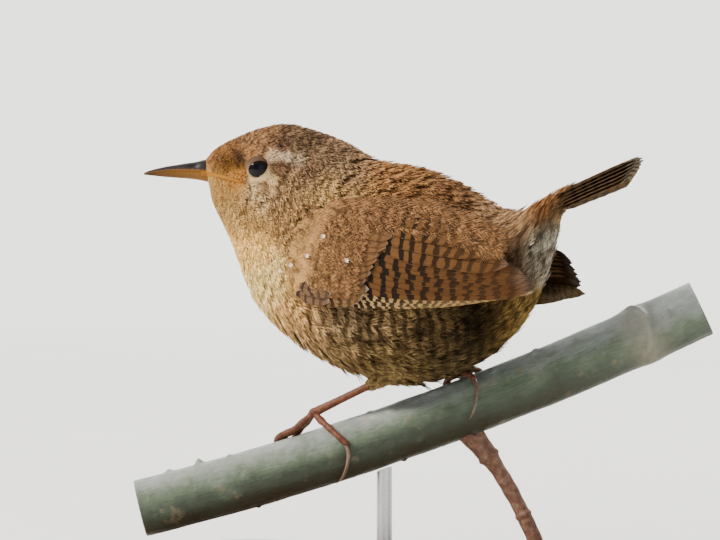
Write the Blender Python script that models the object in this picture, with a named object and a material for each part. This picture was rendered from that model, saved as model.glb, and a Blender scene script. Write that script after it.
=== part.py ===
"""Eurasian wren, life size, still, on a cut length of green stem with a plain display stand.

The row frame has +X towards the tail, +Y towards the bird's right side and +Z up. Its origin is the
centre of the base's underside. Every size below is in millimetres and is turned to metres as a mesh is made.
The stem lies in a plane turned by STEM_YAW about Z, and the head is turned back by the same angle.
"""

import math

import bmesh
import bpy
import numpy as np
from mathutils import Vector
from mathutils.bvhtree import BVHTree

MM = 0.001
GAP = 0.3  # clearance between two neighbouring nodes

# The stand
BASE_LENGTH, BASE_WIDTH, BASE_HEIGHT = 84.0, 54.0, 5.0
BASE_CORNER, BASE_BEVEL = 9.0, 1.0
ROD_RADIUS = 1.4
ROD_PLACE = -1.0  # along the stem from the row's Z axis
ROD_SOCKET = 3.0

# The perch: a gently bowed stem, with a side twig below it
STEM_YAW = math.radians(18)
STEM_RADIUS = 5.15
STEM_START, STEM_END = -45.0, 56.0
STEM_MID, STEM_HEIGHT, STEM_SLOPE, STEM_BOW = 1.8, 26.9, 0.35, 0.00115
TWIG_PLACE, TWIG_END = 11.2, (26.6, 6.4)
TWIG_RADIUS = 1.35
SCAR_PLACE = 45.5
BUD_PLACE = -33.0

# The body: top and bottom points of its sections from the bill's root to the tail, as X, Z of the top,
# X, Z of the bottom, and half width. The head's are measured before the head is turned.
SECTIONS = (
    ("bill_root", -33.8, 76.0, -33.1, 71.1, 2.0),
    ("lores", -31.6, 78.1, -32.4, 67.9, 4.0),
    ("forehead", -28.4, 79.8, -30.7, 64.3, 5.8),
    ("eye", -23.9, 81.6, -29.1, 60.7, 7.5),
    ("crown", -18.9, 82.4, -27.8, 57.1, 9.0),
    ("hindcrown", -13.4, 81.1, -26.6, 53.5, 10.4),
    ("nape", -8.0, 79.0, -25.0, 49.9, 11.9),
    ("neck", -3.3, 76.5, -22.2, 46.3, 13.8),
    ("shoulder", 1.9, 75.5, -17.5, 42.3, 15.7),
    ("mantle", 7.1, 74.5, -11.7, 38.9, 17.0),
    ("back", 11.7, 72.9, -4.9, 36.3, 17.2),
    ("lower_back", 15.6, 70.9, 2.4, 34.9, 16.6),
    ("loin", 19.1, 68.9, 9.8, 35.9, 15.0),
    ("rump", 21.9, 67.2, 17.7, 39.8, 12.4),
    ("vent", 24.7, 67.6, 25.4, 47.3, 9.4),
    ("tail_coverts", 27.9, 69.1, 29.9, 57.4, 6.4),
    ("undertail", 31.1, 70.8, 31.6, 64.9, 4.3),
    ("tail_root", 34.3, 72.2, 34.4, 68.0, 2.9),
)
HEAD_YAW = STEM_YAW
HEAD_PIVOT_X = -9.5
YAW_FULL_AT, YAW_NONE_AT = 3.5, 9.0  # in sections
HEAD_TO, NECK_TO, TORSO_TO = 6.2, 8.4, 13.4  # where the body is parted, in sections
RINGS_PER_SECTION, RING_SIDES = 3, 32

# The eyes and their lids
EYE_X, EYE_Z, EYE_RADIUS, EYE_DEPTH = -24.1, 74.3, 2.8, 2.4
LID_HALF_LENGTH, LID_HALF_HEIGHT, LID_TUBE = 2.25, 1.95, 0.42

LID_TURNS = tuple(math.radians(turn) for turn in range(0, 360, 72))

# The bill, as place along it from its root, height of the culmen, of the mouth and of the lower edge, and
# half width
BILL_ROOT_X = -34.1
BILL_PROFILE = (
    (0.0, 75.75, 73.55, 71.95, 1.65),
    (1.4, 75.4, 73.75, 72.2, 1.45),
    (3.2, 75.15, 73.85, 72.4, 1.22),
    (5.0, 74.85, 73.87, 72.52, 0.98),
    (6.8, 74.55, 73.82, 72.66, 0.76),
    (8.6, 74.15, 73.62, 72.85, 0.54),
    (10.0, 73.75, 73.4, 73.0, 0.36),
    (10.7, 73.4, 73.2, 73.08, 0.16),
)
NOSTRIL = (1.6, 74.75, 0.62, 0.24)  # place along the bill, height, half length, half height
GAPE_END_X, GAPE_END_Z = -26.9, 71.6

# The wing, in a side view square to the stem. A row of feathers is: count, root and tip of the lowest
# feather, root and tip of the highest feather, half width, lift off the body at the root and at the tip.
WING_HALF_WIDTH, WING_MID_X, WING_MID_Z = 16.9, 4.0, 55.0
WING_ROUND_X, WING_ROUND_Z = 0.0115, 0.024
VANE = 0.55
NEAR_TILT, FAR_TILT = 0.17, 0.15  # how far each feather leans over the next, on the near and the far wing
LONG_VANE_ROWS, SHORT_VANE_ROWS = (0, 0.3, 0.6, 0.85, 0.96, 1), (0, 0.45, 0.82, 1)
WING_ROWS = (
    ("primary", 6, (-13.0, 51.2), (15.0, 51.4), (-8.5, 54.6), (26.4, 53.0), 1.6, 0.15, 0.25),
    ("secondary", 5, (-8.0, 54.2), (24.2, 54.2), (-5.0, 61.0), (19.4, 59.8), 2.0, 0.35, 0.45),
    ("tertial", 3, (-3.5, 61.4), (18.0, 61.0), (-1.0, 65.6), (12.8, 65.2), 2.2, 0.6, 0.75),
    ("primary_covert", 4, (-15.0, 51.2), (-6.0, 50.9), (-13.0, 54.2), (-4.2, 53.8), 1.3, 0.75, 0.6),
    ("greater_covert", 7, (-14.0, 54.0), (-4.2, 54.6), (-9.0, 63.6), (0.2, 63.4), 1.7, 0.9, 0.9),
    ("alula", 2, (-16.5, 51.8), (-10.4, 50.7), (-16.0, 53.2), (-8.6, 52.2), 1.3, 1.0, 1.05),
    ("median_covert", 6, (-18.3, 54.4), (-12.2, 54.8), (-12.4, 65.6), (-5.6, 64.8), 1.9, 1.25, 1.3),
    ("lesser_covert", 4, (-20.0, 56.2), (-15.2, 56.4), (-15.2, 65.6), (-9.6, 65.4), 2.4, 1.35, 1.6),
)
# The far wing droops a little: the tips of its lowest and highest feather in these rows
FAR_TIPS = {"primary": ((15.2, 50.6), (28.0, 51.8)), "secondary": ((26.6, 55.0), (23.0, 60.4))}
WING_PAD = (-18.6, 1.0, 52.6, 64.6)  # the fleshy pad's first and last place, and its lowest and highest point
WING_PAD_LIFT = 1.5

# The tail: six feathers a side, closed and cocked
TAIL_PITCH = math.radians(24)
TAIL_ROOT = (34.0, 71.2)
TAIL_LENGTHS = (14.0, 13.7, 13.2, 12.6, 11.8, 10.9)
TAIL_HALF_WIDTH, TAIL_STEP_OUT, TAIL_STEP_DOWN = 2.3, 0.5, 0.36

# The legs. The feet grip the stem at these places along it, and their toes are given in the stem's own
# measure: place along the stem from the ankle, degrees round it from its near side, and height over its skin.
LEG_RADIUS = 0.72
LEFT_FOOT, LEFT_ANKLE_HEIGHT = -11.2, 3.0
LEFT_KNEE = (-2.4, -4.9, 35.0)
LEFT_THIGH_TOP = (3.6, -5.4, 38.6)
RIGHT_FOOT, RIGHT_ANKLE_HEIGHT = 15.3, 1.25
RIGHT_KNEE = (13.6, 4.6, 41.0)
TOE_RADIUS, CLAW_RADIUS = 0.6, 0.34
TOE_SWELL = np.array((1.15, 1.05, 1.15, 0.92, 1.08, 0.86, 1.0, 0.8))
CLAW_TAPER = np.array((1.1, 1.15, 1.0, 0.8, 0.55, 0.25))
SHANK_SWELL = np.array((1.2, 1.0, 0.93, 0.95, 1.05, 1.25))
LEFT_TOES = {
    "hind": ((0.7, 78, 1.6), (1.6, 56, 1.05), (2.6, 34, 0.95), (4.0, 8, 0.95)),
    "inner": ((-1.5, 100, 2.0), (-3.2, 108, 1.1), (-4.6, 128, 0.95), (-5.6, 152, 0.95)),
    "middle": ((-2.0, 94, 2.0), (-4.2, 98, 1.1), (-6.0, 116, 0.95), (-7.4, 142, 0.95)),
    "outer": ((-2.2, 88, 2.0), (-4.6, 88, 1.1), (-6.6, 100, 0.95), (-8.0, 124, 0.95)),
}
LEFT_CLAWS = {
    "hind": ((3.6, -4, 0.95), (2.6, -25, 1.1), (1.3, -44, 1.05), (0.0, -62, 0.6)),
    "inner": ((-5.9, 164, 0.9), (-6.0, 178, 0.85), (-6.0, 192, 0.4)),
    "middle": ((-8.0, 154, 0.9), (-8.4, 168, 0.85), (-8.6, 182, 0.4)),
    "outer": ((-8.7, 136, 0.9), (-9.3, 149, 0.85), (-9.7, 162, 0.4)),
}
RIGHT_TOES = {
    "hind": ((0.3, 76, 1.05), (0.8, 66, 1.0), (1.2, 55, 0.95), (1.4, 45, 0.95)),
    "inner": ((0.9, 100, 1.1), (2.2, 116, 1.0), (3.2, 138, 0.95), (3.8, 160, 0.95)),
    "middle": ((-0.2, 102, 1.1), (-0.4, 122, 1.0), (-0.6, 146, 0.95), (-0.8, 170, 0.95)),
    "outer": ((-1.3, 98, 1.1), (-2.8, 114, 1.0), (-4.0, 136, 0.95), (-4.8, 158, 0.95)),
}
RIGHT_CLAWS = {
    "hind": ((1.45, 36, 0.95), (1.0, 20, 1.15), (0.2, 4, 1.3), (-0.9, -10, 1.1), (-1.8, -20, 0.5)),
    "inner": ((4.0, 172, 0.9), (4.1, 186, 0.85), (4.1, 200, 0.4)),
    "middle": ((-0.9, 182, 0.9), (-1.0, 196, 0.85), (-1.0, 210, 0.4)),
    "outer": ((-5.2, 170, 0.9), (-5.4, 184, 0.85), (-5.5, 198, 0.4)),
}

COLOURS = {
    "crown_brown": ((0.25, 0.13, 0.065), 0.8),
    "breast_buff": ((0.42, 0.29, 0.17), 0.85),
    "back_brown": ((0.24, 0.115, 0.05), 0.8),
    "wing_brown": ((0.17, 0.085, 0.045), 0.7),
    "tail_brown": ((0.18, 0.085, 0.04), 0.7),
    "bill_horn": ((0.05, 0.04, 0.035), 0.35),
    "bill_yellow": ((0.45, 0.24, 0.06), 0.4),
    "eye_black": ((0.006, 0.005, 0.005), 0.06),
    "leg_brown": ((0.22, 0.085, 0.045), 0.5),
    "stem_green": ((0.12, 0.16, 0.11), 0.6),
    "base_wood": ((0.16, 0.08, 0.035), 0.45),
    "rod_steel": ((0.6, 0.6, 0.6), 0.3),
}
METAL = {"rod_steel"}


def clear_scene():
    for thing in list(bpy.data.objects):
        bpy.data.objects.remove(thing)


def material(name):
    found = bpy.data.materials.get(name)
    if found:
        return found
    colour, roughness = COLOURS[name]
    made = bpy.data.materials.new(name)
    made.use_nodes = True
    shader = made.node_tree.nodes["Principled BSDF"]
    shader.inputs["Base Color"].default_value = (*colour, 1)
    shader.inputs["Roughness"].default_value = roughness
    shader.inputs["Metallic"].default_value = 1.0 if name in METAL else 0.0
    return made


def mesh_object(name, points, faces, finish=None):
    """A closed mesh from points in millimetres, with its faces turned outwards."""
    mesh = bpy.data.meshes.new(name)
    mesh.from_pydata([tuple(p) for p in np.asarray(points, float) * MM], [], [tuple(f) for f in faces])
    work = bmesh.new()
    work.from_mesh(mesh)
    bmesh.ops.recalc_face_normals(work, faces=work.faces)
    work.to_mesh(mesh)
    work.free()
    made = bpy.data.objects.new(name, mesh)
    bpy.context.scene.collection.objects.link(made)
    if finish:
        mesh.materials.append(material(finish))
    return made


def shade(thing, angle=40):
    thing.data.shade_smooth()
    thing.data.set_sharp_from_angle(angle=math.radians(angle))


def between(rows, place):
    """Catmull-Rom interpolation of equally numbered rows at the given places."""
    rows = np.asarray(rows, float)
    place = np.clip(np.atleast_1d(np.asarray(place, float)), 0, len(rows) - 1)
    first = np.minimum(place.astype(int), len(rows) - 2)
    part = (place - first)[:, None]
    before = rows[np.maximum(first - 1, 0)]
    start, end = rows[first], rows[first + 1]
    after = rows[np.minimum(first + 2, len(rows) - 1)]
    return 0.5 * (
        2 * start
        + (end - before) * part
        + (2 * before - 5 * start + 4 * end - after) * part**2
        + (3 * start - before - 3 * end + after) * part**3
    )


def smooth_step(low, high, value):
    part = np.clip((np.asarray(value, float) - low) / (high - low), 0, 1)
    return part * part * (3 - 2 * part)


def turned_head(points, place):
    """Turns points by the part of the head's yaw that their section has."""
    angle = HEAD_YAW * (1 - smooth_step(YAW_FULL_AT, YAW_NONE_AT, place))
    x, y = points[..., 0] - HEAD_PIVOT_X, points[..., 1]
    cos, sin = np.cos(angle), np.sin(angle)
    return np.stack([HEAD_PIVOT_X + x * cos - y * sin, x * sin + y * cos, points[..., 2]], axis=-1)


def body_rings(places, sides=RING_SIDES, grow=0.0):
    """Rings round the body: each is an ellipse between its section's top and bottom points."""
    rows = between([s[1:] for s in SECTIONS], places)
    top, bottom, half = rows[:, [0, 1]], rows[:, [2, 3]], rows[:, 4]
    height = np.linalg.norm(top - bottom, axis=1)
    along = (top - bottom) / height[:, None]
    top, bottom, half = top + along * grow, bottom - along * grow, half + grow
    turn = np.linspace(0, 2 * math.pi, sides, endpoint=False)
    up = (1 + np.sin(turn)) / 2
    side = np.cos(turn)
    x = bottom[:, :1] + (top - bottom)[:, :1] * up
    z = bottom[:, 1:] + (top - bottom)[:, 1:] * up
    y = half[:, None] * side
    points = np.stack([x, y, z], axis=-1)
    return turned_head(points, np.asarray(places, float)[:, None])


def ring_faces(rings, sides, start=0):
    return [
        (
            start + i * sides + j,
            start + i * sides + (j + 1) % sides,
            start + (i + 1) * sides + (j + 1) % sides,
            start + (i + 1) * sides + j,
        )
        for i in range(rings - 1)
        for j in range(sides)
    ]


def loft(name, rings, finish=None):
    """A tube through rings of points, closed by a fan at each end."""
    rings = np.asarray(rings, float)
    count, sides = rings.shape[:2]
    points = np.concatenate([rings.reshape(-1, 3), rings[0].mean(0)[None], rings[-1].mean(0)[None]])
    faces = ring_faces(count, sides)
    head, tail = count * sides, count * sides + 1
    last = (count - 1) * sides
    for j in range(sides):
        k = (j + 1) % sides
        faces += [(head, k, j), (tail, last + j, last + k)]
    return mesh_object(name, points, faces, finish)


def tube_rings(path, radii, sides):
    """Round rings square to a path, with no twist."""
    path = np.asarray(path, float)
    tangent = np.gradient(path, axis=0)
    tangent /= np.linalg.norm(tangent, axis=1)[:, None]
    guide = np.array([0.0, 0.0, 1.0]) if abs(tangent[0][2]) < 0.8 else np.array([1.0, 0.0, 0.0])
    rings = []
    turn = np.linspace(0, 2 * math.pi, sides, endpoint=False)
    for centre, along, radius in zip(path, tangent, radii):
        across = np.cross(along, guide)
        across /= np.linalg.norm(across)
        guide = np.cross(across, along)
        ring = np.outer(np.cos(turn), across) + np.outer(np.sin(turn), guide)
        rings.append(centre + ring * radius)
    return np.array(rings)


def sphere(name, centre, radii, rings=12, sides=20, finish=None, axis="Y"):
    """An ellipsoid with its poles on the given axis."""
    fall = np.linspace(0, math.pi, rings + 1)[1:-1]
    turn = np.linspace(0, 2 * math.pi, sides, endpoint=False)
    flat = np.sin(fall)[:, None]
    grid = [flat * np.cos(turn), np.repeat(np.cos(fall)[:, None], sides, 1), flat * np.sin(turn)]
    order = {"Y": (0, 1, 2), "Z": (0, 2, 1), "X": (1, 0, 2)}[axis]
    points = np.stack([grid[k] for k in order], axis=-1) * np.asarray(radii) + np.asarray(centre)
    poles = np.outer((1, -1), ["XYZ".index(axis) == k for k in range(3)])
    poles = poles * np.asarray(radii) + np.asarray(centre)
    faces = ring_faces(rings - 1, sides)
    first, last = (rings - 1) * sides, (rings - 1) * sides + 1
    low = (rings - 2) * sides
    for j in range(sides):
        k = (j + 1) % sides
        faces += [(first, k, j), (last, low + j, low + k)]
    return mesh_object(name, np.concatenate([points.reshape(-1, 3), poles]), faces, finish)


def slab(name, outer, inner, finish=None):
    """A thin plate between two grids of points, split into triangles alike on both faces."""
    outer, inner = np.asarray(outer, float), np.asarray(inner, float)
    rows, columns = outer.shape[:2]
    low = rows * columns
    faces = []
    for i in range(rows - 1):
        for j in range(columns - 1):
            a, b = i * columns + j, i * columns + j + 1
            c, d = a + columns, b + columns
            faces += [(a, b, d), (a, d, c), (low + a, low + d, low + b), (low + a, low + c, low + d)]
    border = [(0, j) for j in range(columns)]
    border += [(i, columns - 1) for i in range(1, rows)]
    border += [(rows - 1, j) for j in range(columns - 2, -1, -1)]
    border += [(i, 0) for i in range(rows - 2, 0, -1)]
    edge = [i * columns + j for i, j in border]
    for a, b in zip(edge, edge[1:] + edge[:1]):
        faces += [(a, low + a, b), (b, low + a, low + b)]
    return mesh_object(name, np.concatenate([outer.reshape(-1, 3), inner.reshape(-1, 3)]), faces, finish)


def applied(thing):
    """The object with its modifiers made real."""
    bpy.context.view_layer.update()
    graph = bpy.context.evaluated_depsgraph_get()
    mesh = bpy.data.meshes.new_from_object(thing.evaluated_get(graph))
    thing.modifiers.clear()
    thing.data = mesh
    return thing


def boolean(thing, operation, tools, solver="EXACT"):
    """Joins or cuts thing by the tools, which are then removed."""
    group = bpy.data.collections.new("tools")
    bpy.context.scene.collection.children.link(group)
    for tool in tools:
        bpy.context.scene.collection.objects.unlink(tool)
        group.objects.link(tool)
    modifier = thing.modifiers.new(operation.lower(), "BOOLEAN")
    modifier.operation = operation
    modifier.operand_type = "COLLECTION"
    modifier.collection = group
    modifier.solver = solver
    applied(thing)
    for tool in tools:
        bpy.data.objects.remove(tool)
    bpy.data.collections.remove(group)
    return thing


def keep_largest(thing):
    """Leaves only the closed surface with the most volume."""
    work = bmesh.new()
    work.from_mesh(thing.data)
    left, shells = set(work.faces), []
    while left:
        seed = left.pop()
        shell, edge = [seed], [seed]
        while edge:
            face = edge.pop()
            for line in face.edges:
                if len(line.link_faces) != 2:
                    continue
                for other in line.link_faces:
                    if other in left:
                        left.remove(other)
                        shell.append(other)
                        edge.append(other)
        shells.append(shell)

    def volume(shell):
        return sum(
            f.verts[0].co.dot(f.verts[k].co.cross(f.verts[k + 1].co)) / 6
            for f in shell
            for k in range(1, len(f.verts) - 1)
        )

    best = max(shells, key=volume)
    drop = [f for shell in shells if shell is not best for f in shell]
    bmesh.ops.delete(work, geom=drop, context="FACES")
    work.to_mesh(thing.data)
    work.free()
    return thing


def finished(thing, name, finish):
    thing.name = name
    thing.data.name = name
    thing.data.materials.clear()
    thing.data.materials.append(material(finish))
    shade(thing)
    return thing


# The perch and the stand


def stem_point(place):
    """The stem's centre line at a place along the picture plane."""
    run = place - STEM_MID
    height = STEM_HEIGHT + STEM_SLOPE * run + STEM_BOW * run * run
    return np.array([place * math.cos(STEM_YAW), place * math.sin(STEM_YAW), height])


def stem_frame(place):
    """Centre, direction, near side and top of the stem at a place."""
    step = 0.01
    along = stem_point(place + step) - stem_point(place - step)
    along /= np.linalg.norm(along)
    near = np.array([math.sin(STEM_YAW), -math.cos(STEM_YAW), 0.0])
    return stem_point(place), along, near, np.cross(near, along)


def round_stem(place, degrees, height):
    """A point at an angle round the stem, from its near side over its top, and a height over its skin."""
    centre, _, near, top = stem_frame(place)
    angle = math.radians(degrees)
    reach = STEM_RADIUS + height
    return centre + (near * math.cos(angle) + top * math.sin(angle)) * reach


def make_stem():
    places = np.linspace(STEM_START, STEM_END, 20)
    swell = 1 + 0.07 * np.exp(-(((places - SCAR_PLACE) / 2.4) ** 2))
    path = [stem_point(p) for p in places]
    stem = loft("stem", tube_rings(path, STEM_RADIUS * swell, 18))
    twig_start = stem_point(TWIG_PLACE)
    twig_end = np.array(
        [TWIG_END[0] * math.cos(STEM_YAW), TWIG_END[0] * math.sin(STEM_YAW), TWIG_END[1]]
    )
    bend = np.array([0.8, 0.3, 1.2])
    part = np.linspace(0, 1, 10)[:, None]
    twig_path = twig_start + (twig_end - twig_start) * part + bend * np.sin(math.pi * part)
    flare = 1 + 1.1 * np.exp(-((part[:, 0] / 0.3) ** 2))
    twig = loft("twig", tube_rings(twig_path, TWIG_RADIUS * flare, 10))
    bud = sphere("bud", round_stem(BUD_PLACE, 88, -0.1), (1.5, 0.9, 0.8), 6, 8, axis="Z")
    joined = [twig, bud]
    for turn in range(-60, 70, 32):
        place = SCAR_PLACE + 1.5 - 0.0008 * turn * turn
        joined.append(sphere("scar", round_stem(place, turn + 15, 0.05), (1.0, 1.0, 1.5), 4, 7, axis="Z"))
    for place, turn, lean in ((13.6, -72, 1.0), (15.4, -80, 0.7), (1.0, -82, 0.5), (-25.0, -86, 0.6)):
        root, tip = round_stem(place, turn, -0.4), round_stem(place + lean, turn, 1.1)
        joined.append(loft("prickle", tube_rings([root, (root + tip) / 2, tip], (0.45, 0.3, 0.08), 5)))
    boolean(stem, "UNION", joined)
    return finished(keep_largest(stem), "perch_stem", "stem_green")


def make_stand():
    corner = []
    for cx, cy, start in ((1, 1, 0), (-1, 1, 90), (-1, -1, 180), (1, -1, 270)):
        for step in range(6):
            angle = math.radians(start + 18 * step)
            corner.append(
                (
                    cx * (BASE_LENGTH / 2 - BASE_CORNER) + BASE_CORNER * math.cos(angle),
                    cy * (BASE_WIDTH / 2 - BASE_CORNER) + BASE_CORNER * math.sin(angle),
                )
            )
    corner = np.array(corner)
    inward = corner / np.linalg.norm(corner, axis=1)[:, None] * BASE_BEVEL
    rings = []
    top = BASE_HEIGHT
    for height, shrink in ((0, 0.4), (0.4, 0), (top - BASE_BEVEL, 0), (top - 0.3, 0.6), (top, 1)):
        flat = corner - inward * shrink
        rings.append(np.column_stack([flat, np.full(len(flat), float(height))]))
    base = loft("base", rings)
    foot = stem_point(ROD_PLACE)
    hole = [(foot[0], foot[1], BASE_HEIGHT - ROD_SOCKET - GAP), (foot[0], foot[1], BASE_HEIGHT + 2)]
    boolean(base, "DIFFERENCE", [loft("hole", tube_rings(hole, [ROD_RADIUS + GAP] * 2, 16))])
    finished(base, "stand_base", "base_wood")
    rod_path = [(foot[0], foot[1], BASE_HEIGHT - ROD_SOCKET), (foot[0], foot[1], foot[2] - 1)]
    rod = loft("rod", tube_rings(rod_path, [ROD_RADIUS] * 2, 16))
    places = np.linspace(ROD_PLACE - 8, ROD_PLACE + 8, 9)
    clear = loft("clear", tube_rings([stem_point(p) for p in places], [STEM_RADIUS * 1.03 + GAP] * 9, 20))
    boolean(rod, "DIFFERENCE", [clear])
    finished(keep_largest(rod), "stand_rod", "rod_steel")


# The body


def body_part(name, start, end, finish, each=RINGS_PER_SECTION):
    places = np.linspace(start, end, max(3, round((end - start) * each) + 1))
    return loft(name, body_rings(places), finish)


def body_tree(grow=0.0):
    """A tree for finding where a ray meets the whole body."""
    places = np.linspace(0, len(SECTIONS) - 1, 4 * len(SECTIONS))
    rings = body_rings(places, grow=grow)
    return BVHTree.FromPolygons(
        [Vector(p) for p in rings.reshape(-1, 3)], ring_faces(len(places), RING_SIDES)
    )


def fat_body(start, end):
    """The body grown by the gap, as a tool to cut what meets it."""
    places = np.linspace(start, end, round((end - start) * RINGS_PER_SECTION) + 1)
    return loft("fat_body", body_rings(places, grow=GAP))


def head_point(x, y, z):
    """A point given in the head's own measure, turned with the head."""
    return turned_head(np.array([x, y, z], float), 0.0)


def head_surface(tree, x, z, side):
    """The point of the head's skin seen from its side at x, z, in the head's own measure."""
    across = np.array([-math.sin(HEAD_YAW), math.cos(HEAD_YAW), 0.0])
    start = head_point(x, side * 40, z)
    hit = tree.ray_cast(Vector(start), Vector(across * -side))[0]
    return 40 - np.linalg.norm(np.array(hit) - start)


def make_bill():
    rows = np.array(BILL_PROFILE)
    turn = np.linspace(0, math.pi, 7)
    upper, lower = [], []
    for along, culmen, mouth, under, half in rows:
        x = BILL_ROOT_X - along
        gap = GAP / 2 * (1 - 0.5 * along / rows[-1, 0])
        rise, drop = culmen - mouth - gap, mouth - gap - under
        arch = [(x, half * math.cos(a), mouth + gap + rise * math.sin(a)) for a in turn]
        keel = [(x, half * 0.92 * math.cos(a), mouth - gap - drop * math.sin(a)) for a in turn]
        upper.append([head_point(*p) for p in arch])
        lower.append([head_point(*p) for p in keel])
    top = loft("bill_upper", upper)
    place, height, half_long, half_tall = NOSTRIL
    x = BILL_ROOT_X - place
    slits = []
    for side in (-1, 1):
        centre = head_point(x, side * 1.28, height)
        slits.append(sphere("nostril", centre, (half_long, 0.3, half_tall), 6, 8))
    boolean(top, "DIFFERENCE", slits)
    finished(keep_largest(top), "bill_upper", "bill_horn")
    lower[-1] = np.array(lower[-2]) * 0.35 + np.array(lower[-1]) * 0.65
    finished(loft("bill_lower", lower), "bill_lower", "bill_yellow")


def eye_centre(tree, side):
    skin = head_surface(tree, EYE_X, EYE_Z, side)
    return (EYE_X, side * (skin - EYE_DEPTH), EYE_Z), skin


def make_head(tree):
    head = body_part("head", 0, HEAD_TO, None)
    joined, sockets = [], []
    for side, name in ((-1, "left"), (1, "right")):
        centre, skin = eye_centre(tree, side)
        turn = np.linspace(0, 2 * math.pi, 18, endpoint=False)
        lid = []
        for angle in turn:
            x = EYE_X + LID_HALF_LENGTH * math.cos(angle)
            z = EYE_Z + LID_HALF_HEIGHT * math.sin(angle) + 0.1 * math.cos(angle)
            lid.append(head_point(x, side * (head_surface(tree, x, z, side) + 0.02), z))
        lid = np.array(lid)
        middle = head_point(*centre)
        rings = []
        for point in lid:
            out = point - middle
            out /= np.linalg.norm(out)
            across = head_point(EYE_X, side * 50, EYE_Z) - head_point(EYE_X, side * 49, EYE_Z)
            flat = out - across * out.dot(across)
            flat /= np.linalg.norm(flat)
            rings.append(
                [point + LID_TUBE * (flat * math.cos(a) * 1.3 + across * math.sin(a)) for a in LID_TURNS]
            )
        joined.append(torus("lids", np.array(rings)))
        joined.append(make_gape(tree, side))
        sockets.append(sphere("socket", middle, (EYE_RADIUS + GAP,) * 3, 10, 18))
        finished(sphere("eye", middle, (EYE_RADIUS,) * 3, 10, 18), "eye_" + name, "eye_black")
    boolean(head, "UNION", joined)
    boolean(head, "DIFFERENCE", sockets)
    return finished(keep_largest(head), "head", "crown_brown")


def torus(name, rings):
    """A closed hoop through rings of points."""
    count, sides = rings.shape[:2]
    faces = [
        (
            i * sides + j,
            i * sides + (j + 1) % sides,
            ((i + 1) % count) * sides + (j + 1) % sides,
            ((i + 1) % count) * sides + j,
        )
        for i in range(count)
        for j in range(sides)
    ]
    return mesh_object(name, rings.reshape(-1, 3), faces)


def make_gape(tree, side):
    """The lip that runs back from the corner of the bill to below the eye."""
    path = []
    for part in np.linspace(0.05, 1, 7):
        x = -33.2 + (GAPE_END_X + 33.2) * part
        z = 73.0 + (GAPE_END_Z - 73.0) * part**1.3
        path.append(head_point(x, side * (head_surface(tree, x, z, side) - 0.05), z))
    return loft("gape", tube_rings(path, 0.5 * (1.08 - np.linspace(0, 1, 7) ** 3), 6))


def make_body(tree):
    make_head(tree)
    step = GAP / 5.0
    finished(body_part("neck", HEAD_TO + step, NECK_TO, None), "neck", "breast_buff")
    finished(body_part("torso", NECK_TO + step, TORSO_TO, None), "torso", "back_brown")
    finished(body_part("rump", TORSO_TO + step * 1.2, len(SECTIONS) - 1, None, 2), "rump", "back_brown")


# The wings


class WingSheet:
    """The surface that a folded wing lies on: clear of the body, and smooth past it."""

    def __init__(self, tree, side):
        self.tree, self.side = tree, side

    def skin(self, x, z):
        start = Vector((x, self.side * 60.0, z))
        hit = self.tree.ray_cast(start, Vector((0, -self.side, 0)))[0]
        return abs(hit.y) if hit else 0.0

    def height(self, x, z):
        free = WING_HALF_WIDTH - WING_ROUND_X * (x - WING_MID_X) ** 2 - WING_ROUND_Z * (z - WING_MID_Z) ** 2
        return max(self.skin(x, z) + 2 * GAP, free)

    def seen(self, place, z):
        """The X and Z of the point of the sheet that is seen at a place square to the stem."""
        x = place
        for _ in range(4):
            x = (place + self.height(x, z) * math.sin(STEM_YAW)) / math.cos(STEM_YAW)
        return np.array([x, z])


def vane_widths(parts, half, blunt):
    """Half widths along a feather: narrow at the root, full over the middle, and rounded at the tip."""
    root = 0.45 + 0.55 * smooth_step(0.0, 0.3, parts)
    tip = np.sqrt(np.clip(1 - ((parts - blunt) / (1.0 - blunt)).clip(0, 1) ** 2, 0, 1))
    return half * root * (0.12 + 0.88 * tip)


def wing_vane(sheet, root, tip, half, lift_root, lift_tip, long):
    parts = np.array(LONG_VANE_ROWS if long else SHORT_VANE_ROWS)
    widths = vane_widths(parts, half, 0.72)
    root, tip = sheet.seen(*root), sheet.seen(*tip)
    along = (tip - root) / np.linalg.norm(tip - root)
    across = np.array([-along[1], along[0]])
    sag = np.array([0, -0.02]) * np.linalg.norm(tip - root)
    tilt = NEAR_TILT if sheet.side < 0 else FAR_TILT
    outer, inner = [], []
    for part, width in zip(parts, widths):
        middle = root + (tip - root) * part + sag * math.sin(math.pi * part)
        lift = lift_root + (lift_tip - lift_root) * part
        thick = VANE * (1 - 0.35 * part**4)
        row_out, row_in = [], []
        for place in (-1, 0, 1):
            x, z = middle + across * width * place
            base = sheet.height(x, z) + lift - tilt * place * width
            row_in.append((x, sheet.side * base, z))
            row_out.append((x, sheet.side * (base + thick * (1.2 if place == 0 else 0.9)), z))
        outer.append(row_out)
        inner.append(row_in)
    return slab("vane", outer, inner)


def wing_pad(sheet):
    x0, x1, z0, z1 = WING_PAD
    outer, inner = [], []
    for a in np.linspace(-1, 1, 9):
        row_out, row_in = [], []
        for b in np.linspace(-1, 1, 7):
            reach = math.sqrt(max(1 - 0.42 * b * b, 0))
            z = (z0 + z1) / 2 + (z1 - z0) / 2 * b * math.sqrt(1 - 0.42 * a * a)
            x = sheet.seen((x0 + x1) / 2 + (x1 - x0) / 2 * a * reach, z)[0]
            edge = (1 - a**4) * (1 - b**4)
            base = sheet.height(x, z)
            row_in.append((x, sheet.side * base, z))
            row_out.append((x, sheet.side * (base + 0.45 + (WING_PAD_LIFT - 0.45) * edge), z))
        outer.append(row_out)
        inner.append(row_in)
    return slab("pad", outer, inner)


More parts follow.
